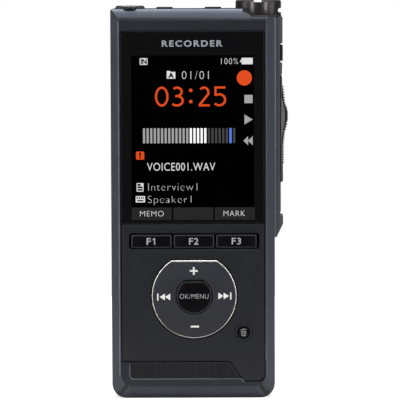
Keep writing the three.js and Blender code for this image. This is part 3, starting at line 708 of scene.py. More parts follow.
PAINT = case_paint()
EDGE_HIGHLIGHT_PAINT = edge_highlight_paint()
SHADED_PAINT = shaded_paint()
FACE_SHADE_PAINT = face_shade_paint()
BRIGHTENED_RAIL_PAINT = brightened_rail_paint()
HIGHLIGHT_BEAD = highlight_bead_finish()
CHEEK = cheek_finish()
GRILLE_FINISH = grille_finish()
PANEL_FINISH = panel_finish()
RING_FINISH = ring_finish()
KEY_FINISH = key_finish()
KEY_EDGE = key_edge_finish()
DARK_PLASTIC = dark_plastic_finish()
RAIL = rail_finish()
COVER_FINISH = cover_finish()
GLASS_FINISH = glass_finish()
SCREEN = screen_finish()
CHROME = chrome_finish()
TURNED = turned_metal_finish()
STEEL = steel_finish()
SCREW = screw_finish()
LENS_FINISH = lens_finish()
MESH = mesh_finish()
RUBBER = rubber_finish()
BOARD = board_finish()
WRAP = wrap_finish()
GOLD = gold_finish()
FILM = film_finish()
LIT_WHITE = lit("lit_white", (0.7, 0.7, 0.7))
LIT_BRIGHT = lit("lit_bright", (1.0, 1.0, 1.0))
LIT_GREY = lit("lit_grey", (0.35, 0.35, 0.35))
LIT_DIM = lit("lit_dim", (0.055, 0.055, 0.055))
LIT_BAR = lit("lit_bar", (0.0165, 0.0165, 0.0165))
LIT_ORANGE = lit("lit_orange", (0.72, 0.07, 0.012))
LIT_BLUE = lit("lit_blue", (0.1, 0.21, 0.9))
NAME_INK = print_ink("name_ink", (0.36, 0.37, 0.43))
KEY_INK = print_ink("key_ink", (0.42, 0.42, 0.43))
BIN_INK = print_ink("bin_ink", (0.2, 0.2, 0.21))
ICON_INK = print_ink("icon_ink", (0.78, 0.78, 0.78))


# ---- the case

def sliced(shape, point, normal):
    """Cuts the faces along a plane and keeps both sides."""
    everything = shape.verts[:] + shape.edges[:] + shape.faces[:]
    bmesh.ops.bisect_plane(shape, geom=everything, plane_co=point, plane_no=normal)


def crowned_top(shape):
    """Rolls the front frame's top bevel into a gentle crown, and raises the notch under the record light."""
    rise = CASE.top - CROWN_LOW
    slope = CROWN_BACK / rise
    for vert in shape.verts:
        if abs(vert.co.z - NOTCH_CUT) < 0.05 and NOTCH_LEFT < vert.co.x < NOTCH_RIGHT:
            vert.co.y += (NOTCH - vert.co.z) * slope if vert.co.y < -6.3 else 0
            vert.co.z = NOTCH
    for i in range(1, CROWN_ROWS):
        sliced(shape, (0, 0, CROWN_LOW + rise * math.sqrt(i / CROWN_ROWS)), (0, 0, 1))
    for column in (FACE_LEFT, FACE_RIGHT):
        sliced(shape, (column, 0, 0), (1, 0, 0))
    sliced(shape, (0, 0, BAND_TOP), (0, 0, 1))
    for vert in shape.verts:
        along = (vert.co.z - CROWN_LOW) / rise
        on_bevel = abs(vert.co.y - (CASE.front + slope * rise * along)) < 0.02
        if 0 < along < 1 and on_bevel:
            vert.co.y = CASE.front + rise * (CROWN_START * along + (slope - CROWN_START) * along ** 7)


def front_highlight_edges(x, y, z):
    """Where the front frame's edges take the painted highlight: beside the face, by the grille, under the
    microphone.
    """
    if y > -5.6:
        return False
    beside_face = -23.5 < x < -21.3 and 4 < z < 116 or x > 21.3 and 6 < z < 116
    round_grille = x < GRILLE.right + 1.5 and 4.6 < z < GRILLE.top and y < -6.9
    under_microphone = x > 15 and z > 115.6
    return beside_face or round_grille or under_microphone


def inner_highlight_strip(x, y, z):
    """The last narrow strip of the side bevels, next to the face, which takes the painted highlight."""
    return y < -7.3 and 7 < z < 114.8 and (FACE_LEFT < x < -22.1 or 21.95 < x < FACE_RIGHT)


def shaded_corner(x, y, z):
    """The narrow mitre facets at the two lower corners of the front bevel, which take the painted shade."""
    if y > -5.9 or y < -7.75 or z > 5.5:
        return False
    turn = math.degrees(math.atan2(abs(x) - (CASE.right - 5.2), 5.2 - z))
    return 22 < turn < 45


def grille_highlight_strip():
    """A thin strip of lighter paint round the left and lower sides of the grille's pocket: a painted
    highlight.
    """
    left = GRILLE.left - 0.16
    bottom = GRILLE.bottom - 0.16
    corner = 1.3
    path = ([(left, GRILLE.top - 0.3)] + arc(left + corner, bottom + corner, corner, 180, 270, 8)
            + [(GRILLE.right + 0.3, bottom), (GRILLE.right + 1.0, bottom - 1.0)])
    border = plate("grille_highlight_strip", stroked(path, 0.3), -7.83, -7.7, edge=0.04)
    finished(border, EDGE_HIGHLIGHT_PAINT)


def front_frame():
    front = softened("front_frame", 0.17, crowned_top, highlighted=front_highlight_edges)
    front.data.materials.append(SHADED_PAINT)
    front.data.materials.append(FACE_SHADE_PAINT)
    for face in front.data.polygons:
        x, y, z = face.center / MM
        # the side bevels' inner strips take the lighter paint, a painted highlight
        if inner_highlight_strip(x, y, z):
            face.material_index = 1
        # the lower corner facets take the darker paint, a painted shade
        if shaded_corner(x, y, z):
            face.material_index = 2
        # the flat band under the grille takes the darker copy of the paint, a painted shade
        if y < -7.7 and z < BAND_TOP and face.normal.y < -0.99:
            face.material_index = 3
    finished(front, PAINT, "case", "case_metal")


def case_shells():
    grille_highlight_strip()
    front_frame()
    for name, x in (("seam_liner_left", -SEAM), ("seam_liner_right", SEAM)):
        finished(plate(name, bar(x - 0.4, x + 0.4, 4.5, 46), 0.1, 1.3), DARK_PLASTIC)
    finished(softened("rear_shell", 0.13), PAINT, "case", "case_metal")
    finished(softened("top_cap", 0.12), DARK_PLASTIC, "case", "dark_plastic")


# ---- the window and the display

def display_window():
    outline = rounded(WINDOW.left, WINDOW.right, WINDOW.bottom, WINDOW.top, 0.5)
    window = plate("display_window_finish", outline, WINDOW.front, WINDOW.back, edge=0.12, steps=3)
    finished(window, GLASS_FINISH, "case", "black_glass", "display_window")


def screen_area():
    outline = rounded(DISPLAY_LEFT, DISPLAY_LEFT + DISPLAY_WIDTH,
                      DISPLAY_BOTTOM, DISPLAY_BOTTOM + DISPLAY_HEIGHT, 0.05, 2)
    area = plate("screen_area", outline, GLASS - INLAY, GLASS + INLAY)
    finished(area, SCREEN, "case", "black_glass")


def on_screen(name, outlines, material=LIT_WHITE, layer=1):
    """Lit marks, measured from the lower left corner of the lit area."""
    piece = prints(name, outlines, GLASS - INLAY * (1 + layer), (DISPLAY_LEFT, DISPLAY_BOTTOM))
    return finished(piece, material)


def screen_words(name, words, span, rows, weight, spacing=1.0, material=LIT_WHITE, layer=1):
    """Lit words that fill a span and rows, measured like the marks."""
    left, right = (DISPLAY_LEFT + u for u in span)
    bottom, top = (DISPLAY_BOTTOM + v for v in rows)
    piece = lettering(name, words, left, right, bottom, top, GLASS - INLAY * (1 + layer), weight, spacing)
    return finished(piece, material)


def maker_line():
    """A plain generic word above the display."""
    left = WINDOW.x - 9.2
    words = lettering("name_print", "RECORDER", left, left + 18.4, 107.35, 109.3, GLASS - INLAY, 0.03, 1.28)
    finished(words, NAME_INK)


def status_row():
    top = DISPLAY_HEIGHT - 0.75
    bottom = top - 2.05
    left = 2.6
    on_screen("badge_memory", [rounded(left, left + 2.4, bottom, top, 0.25)])
    screen_words("badge_memory_words", "IN", (left + 0.3, left + 2.15), (bottom + 0.2, top - 0.25),
                 0.045, 1, SCREEN, 2)
    screen_words("charge_words", "100%", (27.3, 32.4), (bottom + 0.15, top - 0.1), -0.018, 1.15)
    right = DISPLAY_WIDTH - 0.35
    cell = rounded(right - 3.4, right, bottom + 0.08, top, 0.12, 2)
    nub = rounded(right - 3.8, right - 3.5, bottom + 0.7, top - 0.6, 0.12, 3)
    on_screen("charge_icon", [cell, nub])


def folder_row():
    left = 10.8
    bottom = 42.9
    top = bottom + 2.35
    folder = [(left, bottom), (left + 2.6, bottom), (left + 2.6, top - 0.3), (left + 1.2, top - 0.3),
              (left + 0.95, top), (left, top)]
    on_screen("folder_icon", [folder])
    screen_words("folder_letter", "A", (left + 0.45, left + 2.15), (bottom + 0.2, top - 0.55),
                 0.055, 1, SCREEN, 2)
    screen_words("file_count", "01/01", (15.4, 23.5), (bottom - 0.15, top - 0.1), -0.022, 1.2)


def clock_digit(digit, left, right, bottom, top, weight):
    """Outlines of 0, 2, 3 or 5 drawn with one even line."""
    half = weight / 2
    width = (right - left) / 2 - half
    middle = (left + right) / 2
    low = bottom + half
    high = top - half
    tall = high - low
    if digit == "0":
        oval = ellipse(middle, (low + high) / 2, width + half, tall / 2 + half)
        return [(oval, [ellipse(middle, (low + high) / 2, width - half, tall / 2 - half)])]
    if digit == "3":
        upper = bent(middle - 0.1 * width, high - 0.235 * tall, 0.9 * width, 0.235 * tall, 135, -90)
        lower = bent(middle - 0.15 * width, low + 0.265 * tall, 1.15 * width, 0.265 * tall, 90, -138)
        waist = (left + 0.32 * (right - left), low + 0.53 * tall)
        return [stroked(upper + [waist], weight), stroked([waist] + lower, weight)]
    if digit == "2":
        hook = bent(middle - 0.05 * width, high - 0.28 * tall, width, 0.28 * tall, 140, -18)
        foot = bar(left, right, bottom, bottom + weight)
        return [stroked(hook + [(left + half, low + 0.04 * tall)], weight), foot]
    bowl = bent(middle - 0.15 * width, low + 0.31 * tall, 1.15 * width, 0.31 * tall, 112, -138)
    stem = [(left + 0.13 * width + half, high), (left + 0.1 * width + half, low + 0.6 * tall)]
    return [stroked(stem + bowl, weight), bar(left + 0.13 * width, right - 0.15 * width, top - weight, top)]


def clock_row():
    bottom = 34.45
    top = bottom + 6.05
    outlines = []
    for digit, left, right in (("0", 7.2, 11.3), ("3", 12.15, 15.95), ("2", 20.45, 23.8), ("5", 25.05, 28.8)):
        outlines += clock_digit(digit, left, right, bottom, top, 0.64)
    colon = 18.05
    dot = 0.96
    for low in (bottom + 1.0, bottom + 4.4):
        outlines.append(rounded(colon - dot / 2, colon + dot / 2, low, low + dot, 0.2, 3))
    on_screen("clock_digits", outlines, LIT_ORANGE)


def transport_icons():
    """Record, stop, play and rewind marks beside the slide."""
    right = DISPLAY_WIDTH - 0.4
    left = right - 2.5
    on_screen("record_icon", [circle(left, 43.05, 2.3, 64)], LIT_ORANGE)
    low = 28.95
    play = [(left, low), (right, low + 1.5), (left, low + 3.0)]
    low = 22.6
    rewind = [[(tip - 1.45, low + 1.4), (tip, low), (tip, low + 2.8)] for tip in (right - 1.4, right)]
    on_screen("stop_icon", [bar(left, right, 35.4, 37.9)], LIT_GREY)
    on_screen("play_icon", [play], LIT_GREY)
    on_screen("rewind_icon", rewind, LIT_GREY)


def level_meter():
    """Twenty-six bars: grey, then white up to the level, then dim, with a blue peak mark."""
    left = 3.5
    bottom = 23.3
    height = 4.55
    pitch = 1.093
    bars = [bar(left + i * pitch, left + i * pitch + 0.66, bottom, bottom + height) for i in range(26)]
    on_screen("level_grey", bars[:13], LIT_GREY, 2)
    on_screen("level_white", bars[13:18], LIT_BRIGHT, 2)
    on_screen("level_dim", bars[18:24] + bars[25:], LIT_DIM, 2)
    on_screen("level_peak", bars[24:25], LIT_BLUE, 2)


def alert_badge():
    left = 1.35
    bottom = 18.35
    on_screen("alert_badge", [rounded(left, left + 2.5, bottom, bottom + 2.45, 0.4)], LIT_ORANGE)
    middle = left + 1.25
    stroke = [(middle - 0.22, bottom + 0.95), (middle + 0.22, bottom + 0.95),
              (middle + 0.3, bottom + 2.15), (middle - 0.3, bottom + 2.15)]
    on_screen("alert_mark", [stroke, circle(middle, bottom + 0.52, 0.26, 12)], SCREEN, 2)


def file_lines():
    screen_words("file_name", "VOICE001.WAV", (4.7, 25.4), (14.95, 17.35), -0.004, 1.08)
    screen_words("subject_words", "Interview1", (5.05, 19.9), (8.9, 11.15), -0.03, 1.1)
    screen_words("speaker_words", "Speaker1", (4.9, 18.1), (4.45, 7.3), -0.03, 1.1)


def line_icons():
    """A note sheet and a key strip beside the two text lines."""
    left = 1.5
    bottom = 8.6
    sheet = rounded(left, left + 2.1, bottom, bottom + 2.6, 0.15, 2)
    windows = [bar(left + 0.26, left + 1.84, low, low + 0.54) for low in (bottom + 0.26, bottom + 1.02)]
    windows.append(bar(left + 0.26, left + 1.25, bottom + 1.72, bottom + 2.36))
    on_screen("note_icon", [(sheet, windows)])
    left = 1.2
    bottom = 5.3
    strip = rounded(left, left + 2.85, bottom, bottom + 1.95, 0.15, 2)
    dots = [bar(at, at + 0.38, bottom + 1.1, bottom + 1.62) for at in (1.48, 2.1, 2.72, 3.34)]
    dots.append(bar(left + 0.5, left + 2.35, bottom + 0.35, bottom + 0.75))
    on_screen("strip_icon", [(strip, dots)])


def soft_keys():
    """The three key boxes along the foot of the display, two of them named."""
    bottom = -0.05
    gap = 0.45
    width = (DISPLAY_WIDTH + 0.2 - 2 * gap) / 3
    lefts = (i * (width + gap) for i in range(3))
    on_screen("soft_key_bar", [bar(left, left + width, bottom, bottom + 3.8) for left in lefts], LIT_BAR)
    rows = (bottom + 1.1, bottom + 2.75)
    screen_words("soft_key_left", "MEMO", (2.5, 9.7), rows, -0.018, 1.1, layer=2)
    screen_words("soft_key_right", "MARK", (27.9, 34.4), rows, -0.018, 1.1, layer=2)


def display():
    screen_area()
    maker_line()
    status_row()
    folder_row()
    clock_row()
    transport_icons()
    level_meter()
    alert_badge()
    file_lines()
    line_icons()
    soft_keys()


# ---- the key panel

def panel_outline():
    """The panel runs round the end of the grille and down to the lower right corner."""
    seam = GRILLE.top + 0.4
    corner = 2.1
    bend = 1.5
    return (arc(PANEL.right - corner, PANEL.bottom + corner, corner, -90, 0, 10)
            + [(PANEL.right, PANEL.top), (PANEL.left, PANEL.top), (PANEL.left, seam), (10.7, seam)]
            + arc(10.7, seam - bend, bend, 90, 30, 5) + [(GRILLE.right + 1.0, PANEL.bottom)])


def trough_outline():
    """The opening that the three function keys share."""
    return rounded(Box("key_f1").left + 0.4, Box("key_f3").right - 0.3, TROUGH_LOW, TROUGH_HIGH, 1.0)


def control_panel():
    holes = [
        trough_outline(),
        flat_disc(NAV_X, NAV_Z, NAV_WELL, NAV_FLAT + 0.35),
        circle(COLLAR.x, COLLAR.z, COLLAR.width / 2 + 0.2, 40),
    ]
    panel = plate("control_panel_finish", panel_outline(), PANEL.front, PANEL.back, holes, edge=0.14, steps=3)
    finished(panel, PANEL_FINISH, "case", "panel_plastic", "control_panel")


def function_key(index):
    """A key with a ground edge, a glossy face and its legend."""
    node = f"key_f{index}"
    body = f"function_key_{index}"
    left = KEY_LEFT + KEY_PITCH * (index - 1)
    right = left + KEY_WIDTH
    outline = rounded(left, right, KEY_LOW, KEY_HIGH, 0.4, 5)
    skirt = plate(f"{node}_body", outline, KEY_FACE + 0.22, -5.9, edge=0.1)
    finished(skirt, KEY_EDGE, body, "key_plastic", node)
    outline = rounded(left + KEY_EDGE_WIDTH, right - KEY_EDGE_WIDTH,
                      KEY_LOW + KEY_EDGE_WIDTH, KEY_HIGH - KEY_EDGE_WIDTH, 0.3, 5)
    face = plate(f"{node}_face", outline, KEY_FACE, KEY_FACE + 0.3, edge=0.16, steps=3)
    finished(face, KEY_FINISH, body, "key_plastic")
    key_legend(index, (left + right) / 2 - 0.05, 47.15, 49.2)


def key_legend(index, x, low, high):
    """F1, F2 or F3. The one of F1 is drawn by itself, as a plain stroke with a flag."""
    words = f"F{index}" if index > 1 else "F"
    end = x + (1.42 if index > 1 else -0.12)
    legend = lettering(f"key_f{index}_legend", words, x - 1.42, end, low, high, KEY_FACE - INLAY, 0.012, 1.1)
    finished(legend, KEY_INK, f"function_key_{index}")
    if index == 1:
        one = [(x + 0.85, low), (x + 1.17, low), (x + 1.17, high), (x + 0.9, high),
               (x + 0.42, high - 0.38), (x + 0.54, high - 0.66), (x + 0.85, high - 0.46)]
        finished(prints("key_f1_digit", [one], KEY_FACE - INLAY), KEY_INK, "function_key_1")


def function_keys():
    for index in (1, 2, 3):
        function_key(index)


def nav_ring():
    outer = NAV_RADIUS - TRIM_WIDTH
    outline = flat_disc(NAV_X, NAV_Z, outer, NAV_FLAT - 0.47)
    hole = flat_disc(NAV_X, NAV_Z, OK_HOLE, OK_HOLE_FLAT, 72)
    ring = plate("nav_ring_finish", outline, NAV_FACE, -5.6, [hole], edge=0.12, steps=3)
    finished(ring, RING_FINISH, "nav_key", "panel_plastic", "nav_ring")


def nav_trim():
    outline = flat_disc(NAV_X, NAV_Z, NAV_RADIUS, NAV_FLAT, 128)
    hole = flat_disc(NAV_X, NAV_Z, NAV_RADIUS - TRIM_WIDTH + 0.02, NAV_FLAT - 0.46, 128)
    trim = plate("nav_trim_finish", outline, -7.78, -6.9, [hole], edge=0.17, steps=4)
    finished(trim, CHROME, "nav_key", "bright_trim", "nav_trim")


def skip_mark(x, z, direction):
    """A bar and two arrowheads that point outward."""
    half = 1.025
    head = 1.62
    width = 0.42
    marks = []
    for base in (x - 2.0 * direction, x + (head - 2.0) * direction):
        marks.append([(base, z - half), (base + direction * head, z), (base, z + half)])
    inner, outer = sorted((x + direction * (2.0 - width), x + direction * 2.0))
    marks.append(bar(inner, outer, z - half - 0.05, z + half + 0.05))
    return marks


def cross(x, z, reach, half):
    """A plus sign, by its reach and half its line width."""
    arm = [(half, -half), (reach, -half), (reach, half)]
    turned = [(u * c - v * s, u * s + v * c) for c, s in ((1, 0), (0, 1), (-1, 0), (0, -1)) for u, v in arm]
    return [(x + u, z + v) for u, v in turned]


def nav_marks():
    x = NAV_X - 0.1
    minus_z = NAV_Z - 9.3
    minus = bar(x - 1.0, x + 1.5, minus_z - 0.27, minus_z + 0.27)
    marks = [cross(x, NAV_Z + 7.75, 1.2, 0.27), minus]
    marks += skip_mark(NAV_X - 9.3, NAV_Z - 0.2, -1) + skip_mark(NAV_X + 9.35, NAV_Z + 0.05, 1)
    finished(prints("nav_marks", marks, NAV_FACE - INLAY), ICON_INK, "nav_key")


def ok_key():
    edge_outline = flat_disc(NAV_X, NAV_Z, OK_RADIUS, OK_FLAT, 72)
    skirt = plate("ok_key_body", edge_outline, OK_FACE + 0.14, -5.45, edge=0.1)
    finished(skirt, KEY_EDGE, "centre_key", "key_plastic", "ok_key")
    face_outline = flat_disc(NAV_X, NAV_Z, OK_RADIUS - 0.16, OK_FLAT - 0.16, 72)
    face = plate("ok_key_face", face_outline, OK_FACE, OK_FACE + 0.2, edge=0.12, steps=3)
    finished(face, KEY_FINISH, "centre_key", "key_plastic")
    words = lettering("ok_key_legend", "OK/MENU", NAV_X - 4.4, NAV_X + 4.35, NAV_Z - 0.78, NAV_Z + 0.68,
                      OK_FACE - INLAY, -0.012, 1.06)
    finished(words, KEY_INK, "centre_key")


def bin_marks(x, z):
    """A waste bin with its lid lifted at one side."""
    body = [(x - 0.62, z - 1.1), (x + 0.62, z - 1.1), (x + 0.8, z + 0.42), (x - 0.8, z + 0.42)]
    slots = [bar(x + step - 0.1, x + step + 0.1, z - 0.85, z + 0.2) for step in (-0.38, 0, 0.38)]
    lid = tilted(bar(x - 1.0, x + 1.0, z + 0.6, z + 0.82), x - 1.0, z + 0.6, 9)
    handle = tilted(bar(x - 0.3, x + 0.3, z + 0.84, z + 1.05), x - 1.0, z + 0.6, 9)
    return [(body, slots), lid, handle]


def erase_key():
    x = COLLAR.x
    z = COLLAR.z
    outer = COLLAR.width / 2
    collar = plate("erase_collar_finish", circle(x, z, outer, 48), COLLAR.front + 0.02, COLLAR.back,
                   [circle(x, z, outer - 0.4, 48)], edge=0.1)
    finished(collar, RING_FINISH, "case", "dark_metal", "erase_collar")
    key = plate("erase_key_finish", circle(x, z, outer - 0.6, 48), OK_FACE, -5.9, edge=0.16, steps=3)
    finished(key, KEY_FINISH, "delete_key", "key_plastic", "erase_key")
    finished(prints("erase_mark", bin_marks(x, z), OK_FACE - INLAY), BIN_INK, "delete_key")


# ---- the grille

def grille_outline():
    corner = 1.2
    return (arc(GRILLE.left + corner, GRILLE.bottom + corner, corner, 180, 270, 8)
            + [(GRILLE.right, GRILLE.bottom), (11.4, GRILLE.top - 0.5), (10.8, GRILLE.top),
               (GRILLE.left, GRILLE.top)])


def speaker_grille():
    """Close columns of fine round holes, within the slanted end."""
    column = 0.56
    row = 0.46
    holes = []
    z = GRILLE.bottom + 0.5
    while z < GRILLE.top - 0.35:
        end = GRILLE.right - 0.9 - (z - GRILLE.bottom) * 0.62
        x = GRILLE.left + 0.55
        while x < end:
            if x - GRILLE.left + z - GRILLE.bottom > 1.5:
                holes.append(circle(x, z, 0.15, 6))
            x += column
        z += row
    grille = plate("speaker_grille_finish", grille_outline(), -7.6, GRILLE.back, holes)
    finished(grille, GRILLE_FINISH, "case", "grille_plastic", "speaker_grille")


# ---- the top

def led_lens():
    """A low clear oval dome with a lip over the front rim."""
    shape = bmesh.new()
    rise = LENS.top + 0.3 - LENS_BASE
    rings = []
    for level in range(7):
        angle = math.pi / 2 * level / 6
        spread = 1 - 0.2 * (1 - math.cos(angle)) - (0.7 if level == 6 else 0)
        outline = ellipse(LENS.x, -2.5, LENS.width / 2 * spread, 2.7 * spread, 48)
        rings.append([shape.verts.new((u, v, LENS_BASE + rise * math.sin(angle))) for u, v in outline])
    for lower, upper in zip(rings, rings[1:]):
        for i in range(len(lower)):
            shape.faces.new((lower[i - 1], lower[i], upper[i], upper[i - 1]))
    shape.faces.new(rings[0])
    shape.faces.new(rings[-1])
    finished(new_object("led_lens_finish", shape, 50), LENS_FINISH, "case", "clear_lens", "led_lens")
    lip = plate("led_lens_lip", rounded(-20.6, -17.3, -6.7, -3.5, 0.9), LENS.top - 0.2, 118.8,
                edge=-0.35, steps=4, plane="xy")
    finished(lip, LENS_FINISH, "case", "clear_lens")


def jacks():
    for node in ("mic_jack", "ear_jack"):
        finished(softened(node, 0.12), DARK_PLASTIC, "case", "dark_plastic")
        sleeve = revolve(f"{node}_contact", [
            (1.35, 0), (1.72, 0), (1.72, 6.0), (1.55, 6.2), (1.35, 6.2), (1.35, 0),
        ], (Box(node).x, 1.5, 108.0), 40)
        finished(sleeve, STEEL, "case", "mesh_steel")


def mic_housing():
    """A turned cup with a rounded rim, notched across its top and once in its right flank."""
    radius = MIC.width / 2
    x = MIC.x
    height = MIC.top - MIC.bottom
    bore = 5.6
    profile = [(0, 0), (radius - 0.35, 0), (radius - 0.1, 0.08), (radius, 0.35)]
    profile += bent(radius - 0.5, height - 0.62, 0.5, 0.62, 0, 90, 4)
    profile += [(bore + 0.25, height), (bore, height - 0.25), (bore, 0.8), (0, 0.8)]
    housing = revolve("mic_housing_finish", profile, (x, 0, MIC.bottom), 160)
    top_groove = plate("top_groove", bar(x - 1.4, x + 1.1, MIC.top - 0.75, MIC.top + 1), -9, 9)
    flank = (arc(x + 6.6, 118.18, 0.67, 90, 270, 12) + [(x + 9, 117.51), (x + 9, 118.85)])
    flank_groove = plate("flank_groove", flank, -9, 9)
    cut_away(housing, top_groove, flank_groove)
    finished(housing, TURNED, "case", "dark_metal", "mic_housing")


def mic_seat():
    """The black lip that the microphone stands in, down the slope and along the shelf."""
    lip = [(15.2, 118.74), (18.0, MIC_SHELF), (18.5, MIC_SHELF), (18.5, 116.7), (16.05, 118.74)]
    finished(plate("mic_slope_lip", lip, -7.0, 5.6, edge=0.12), DARK_PLASTIC, "case", "dark_plastic")
    radius = MIC.width / 2
    seat = [(0, 0), (radius + 0.1, 0), (radius + 0.1, 0.3), (radius, 0.42), (0, 0.42)]
    finished(revolve("mic_seat", seat, (MIC.x, 0, MIC_SHELF)), DARK_PLASTIC, "case", "dark_plastic")


def mic_rim():
    """The black ring round the microphone's top edge."""
    radius = MIC.width / 2
    profile = [(radius - 0.42, -0.55), (radius - 0.02, -0.5), (radius - 0.16, -0.14), (radius - 0.5, 0.0),
               (radius - 1.3, 0.0), (radius - 1.35, -0.3), (radius - 0.42, -0.55)]
    rim = revolve("mic_rim", profile, (MIC.x, 0, MIC.top + 0.02))
    groove = plate("rim_groove", bar(MIC.x - 1.4, MIC.x + 1.1, MIC.top - 2, MIC.top + 1), -9, 9)
    cut_away(rim, groove)
    finished(rim, DARK_PLASTIC, "case", "dark_plastic")


def mic_mesh():
    """A domed mesh: a thin cap under crossed rows of wire."""
    x = MESH_DOME.x
    rim = MESH_DOME.width / 2
    foot = 0.25
    rise = MESH_DOME.top - MESH_DOME.bottom - 0.12 - foot
    dome = [(0, 0), (rim - 0.05, 0), (rim, 0.05)] + bent(0, foot, rim, rise, 0, 90, 10)
    cap = revolve("mic_mesh_cap", dome, (x, 0, MESH_DOME.bottom), 64)
    finished(cap, RUBBER, "case", "mesh_steel", "mic_grille")
    shape = bmesh.new()
    pitch = 0.46
    reach = int(rim / pitch)
    for direction in (0, 1):
        for i in range(-reach, reach + 1):
            add_wire(shape, x, MESH_DOME.bottom + foot, rim - 0.05, rise, i * pitch, direction)
    finished(new_object("mic_mesh_wires", shape), MESH, "case", "mesh_steel")


def add_wire(shape, x, base, rim, rise, offset, direction):
    """One five-sided wire laid over the dome, across X or across Y."""
    half = math.sqrt(max(rim * rim - offset * offset, 0.01))
    steps = 14
    previous = None
    for i in range(steps + 1):
        along = half * (2 * i / steps - 1)
        distance = min((along * along + offset * offset) / (rim * rim), 1.0)
        ring = []
        for across, z in circle(offset, base + rise * math.sqrt(1 - distance) + 0.02, 0.075, 5):
            u, v = (along, across) if direction else (across, along)
            ring.append(shape.verts.new((x + u, v, z)))
        if previous:
            for side in range(len(ring)):
                shape.faces.new((previous[side - 1], previous[side], ring[side], ring[side - 1]))
        else:
            shape.faces.new(ring)
        previous = ring
    shape.faces.new(previous)


def top_rim():
    """The black insert's raised edge, just behind the front frame's top."""
    rim = plate("top_rim", bar(-24.0, 15.3, 118.5, 118.95), -5.95, -5.4, edge=0.08)
    finished(rim, DARK_PLASTIC, "case", "dark_plastic")


def top_pieces():
    top_rim()
    led_lens()
    jacks()
    mic_housing()
    mic_seat()
    mic_rim()
    mic_mesh()


# ---- the sides and the back

def slide_teeth():
    """The fine teeth along the front of the slide's rib, below and above its peak."""
    below = [(27.45, 71.2), (27.45, 77.7), (27.85, 81.2), (28.6, 83.7)]
    above = [(28.7, 88.1), (27.9, 90.2), (27.35, 95.2)]
    pitch = 0.78
    depth = 0.38
    for name, path in (("slide_teeth_below", below), ("slide_teeth_above", above)):
        outline = []
        for start, end in zip(path, path[1:]):
            count = round(math.dist(start, end) / pitch)
            for i in range(count):
                for along, reach in ((i, 0), (i + 0.5, 0), (i + 0.52, depth), (i + 0.98, depth)):
                    x, z = (a + (b - a) * along / count for a, b in zip(start, end))
                    outline.append((x + reach, z))
        outline += [path[-1], (27.0, path[-1][1]), (27.0, path[0][1])]
        finished(plate(name, outline, -2.25, -2.05), RAIL, "record_slide", "rail_plastic")


def side_rail():
    rail = Box("side_rail")
    # the rail takes the lightened copy of the case paint, painted light
    finished(softened("side_rail", 0.16), BRIGHTENED_RAIL_PAINT, "case", "rail_plastic")
    joint = bar(CASE.right - 0.12, rail.left + 0.05, rail.bottom + 0.2, rail.top - 0.1)
    finished(plate("side_rail_joint", joint, -5.5, rail.back - 0.1), DARK_PLASTIC, "case", "rail_plastic")
    # a thin bright strip at the joint's front, a painted highlight
    finished(plate("side_rail_highlight_bead", joint, -5.95, -5.5, edge=0.1), HIGHLIGHT_BEAD, "case", "rail_plastic")
    for name, bottom, top in (("slide_liner", 56.2, 98.35), ("new_liner", 102.4, 108.0)):
        finished(plate(name, bar(26.5, 26.98, bottom, top), 3.42, 3.9), DARK_PLASTIC, "case", "rail_plastic")


def record_slide():
    """The slide, with paler cheeks at its peak."""
    slide = softened("record_slider", 0.05, angle=20)
    slide.data.materials[1] = CHEEK
    for face in slide.data.polygons:
        x, y, z = face.center / MM
        if y < -3.1 and 79 < z < 92:
            face.material_index = 1
    finished(slide, RAIL, "record_slide", "rail_plastic")
    slide_teeth()


def moving_pieces():
    """The button on the rail, the card door, the hold switch, and the battery cover with its catch."""
    finished(softened("new_button", 0.14), RAIL, "new_key", "rail_plastic")
    finished(softened("card_door", 0.1), DARK_PLASTIC, "card_flap", "dark_plastic")
    finished(softened("power_slider", 0.08), TURNED, "hold_slide", "dark_metal")
    finished(softened("battery_cover", 0.12), COVER_FINISH, "back_cover", "cover_plastic")
    finished(softened("battery_latch", 0.08), KEY_FINISH, "cover_catch", "key_plastic")


def inner_pieces():
    """The pieces inside and the screws keep their CAD shape and get a finish each."""
    finishes = (
        (STEEL, "nav_gimbal mic_capsule slide_switch new_switch lcd_backlight card_socket usb_socket"),
        (RUBBER, "keypad_mat mic_cushion power_switch speaker_gasket speaker_driver"),
        (BOARD, "key_board led_board main_board"),
        (DARK_PLASTIC, "battery_tray memory_card dock_connector"),
        (SCREW, "case_screw_1 case_screw_2 case_screw_3 case_screw_4"),
        (WRAP, "battery"), (GOLD, "battery_contacts"), (GLASS_FINISH, "lcd_panel"), (FILM, "display_flex"),
    )
    for material, nodes in finishes:
        for node in nodes.split():
            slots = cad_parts[node].data.materials
            slots.clear()
            slots.append(material)


# ---- floor, light and camera

def floor():
    """A slab that ends a little in front of the recorder, so that it doesn't mirror in the dark face."""
    reach = 280
    front = -60
    thickness = 6
    shape = bmesh.new()
    add_plate(shape, bar(-reach, reach, front, reach), (), -thickness, 0, plane="xy")
    ground = new_object("floor", shape)
    ground.data.materials.append(floor_finish())


def softbox(name, place, aim_height, size, power):
    """A rectangular lamp that faces the recorder at some height."""
    light = bpy.data.lights.new(name, "AREA")
    light.shape = "RECTANGLE"
    light.size, light.size_y = size
    light.energy = power
    holder = linked(name, light)
    holder.location = place
    holder.rotation_euler = (Vector((0, 0, aim_height)) - Vector(place)).to_track_quat("-Z", "Y").to_euler()


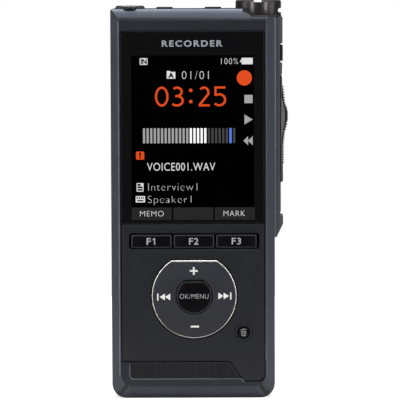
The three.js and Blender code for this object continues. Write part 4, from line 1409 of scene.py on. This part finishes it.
def studio_world():
    """White behind the object, and a dim even fill for everything else."""
    world = bpy.data.worlds.new("studio")
    bpy.context.scene.world = world
    world.use_nodes = True
    nodes = world.node_tree.nodes
    links = world.node_tree.links
    fill = nodes["Background"]
    white = nodes.new("ShaderNodeBackground")
    for background, strength in ((fill, 0.12), (white, 1.0)):
        background.inputs["Color"].default_value = (1, 1, 1, 1)
        background.inputs["Strength"].default_value = strength
    mix = nodes.new("ShaderNodeMixShader")
    seen = nodes.new("ShaderNodeLightPath").outputs["Is Camera Ray"]
    links.new(seen, mix.inputs["Fac"])
    links.new(fill.outputs["Background"], mix.inputs[1])
    links.new(white.outputs["Background"], mix.inputs[2])
    links.new(mix.outputs["Shader"], nodes["World Output"].inputs["Surface"])


def lights():
    studio_world()
    sky = bpy.data.lights.new("overhead", "SUN")
    sky.energy = 3.3
    sky.angle = math.radians(70)
    linked("overhead", sky).location = (0, 0, 1)
    softbox("top_strip", (0, -0.02, 1.1), 0.1, (1.0, 0.3), 9)
    softbox("left_side", (-1.1, -0.35, 0.3), 0.07, (0.5, 1.0), 1.9)
    softbox("right_side", (1.1, -0.35, 0.3), 0.07, (0.5, 1.0), 1.8)
    softbox("left_strip", (-0.6, -1.0, 0.25), 0.1, (0.1, 0.7), 2.8)
    softbox("right_strip", (0.75, -0.95, 0.25), 0.1, (0.1, 0.7), 2.8)
    softbox("front_top", (0, -0.75, 1.05), 0.09, (1.0, 0.5), 4)


def camera():
    """From about a metre away and a little above the case, looking slightly down at its middle."""
    distance = 0.95
    elevation = math.radians(4.5)
    view_width = 121.55 * MM
    aim = Vector((2.4 * MM, CASE.front * MM, 60.8 * MM))
    lens = bpy.data.cameras.new("camera")
    lens.sensor_width = 36
    lens.lens = 36 * distance / view_width
    lens.clip_start = 0.01
    holder = linked("camera", lens)
    holder.location = aim + Vector((0, -math.cos(elevation), math.sin(elevation))) * distance
    holder.rotation_euler = (math.pi / 2 - elevation, math.radians(0.2), 0)
    bpy.context.scene.camera = holder


bpy.context.scene.view_settings.view_transform = "Standard"
camera()
lights()
floor()
case_shells()
display_window()
display()
control_panel()
function_keys()
nav_ring()
nav_trim()
nav_marks()
ok_key()
erase_key()
speaker_grille()
top_pieces()
side_rail()
record_slide()
moving_pieces()
inner_pieces()
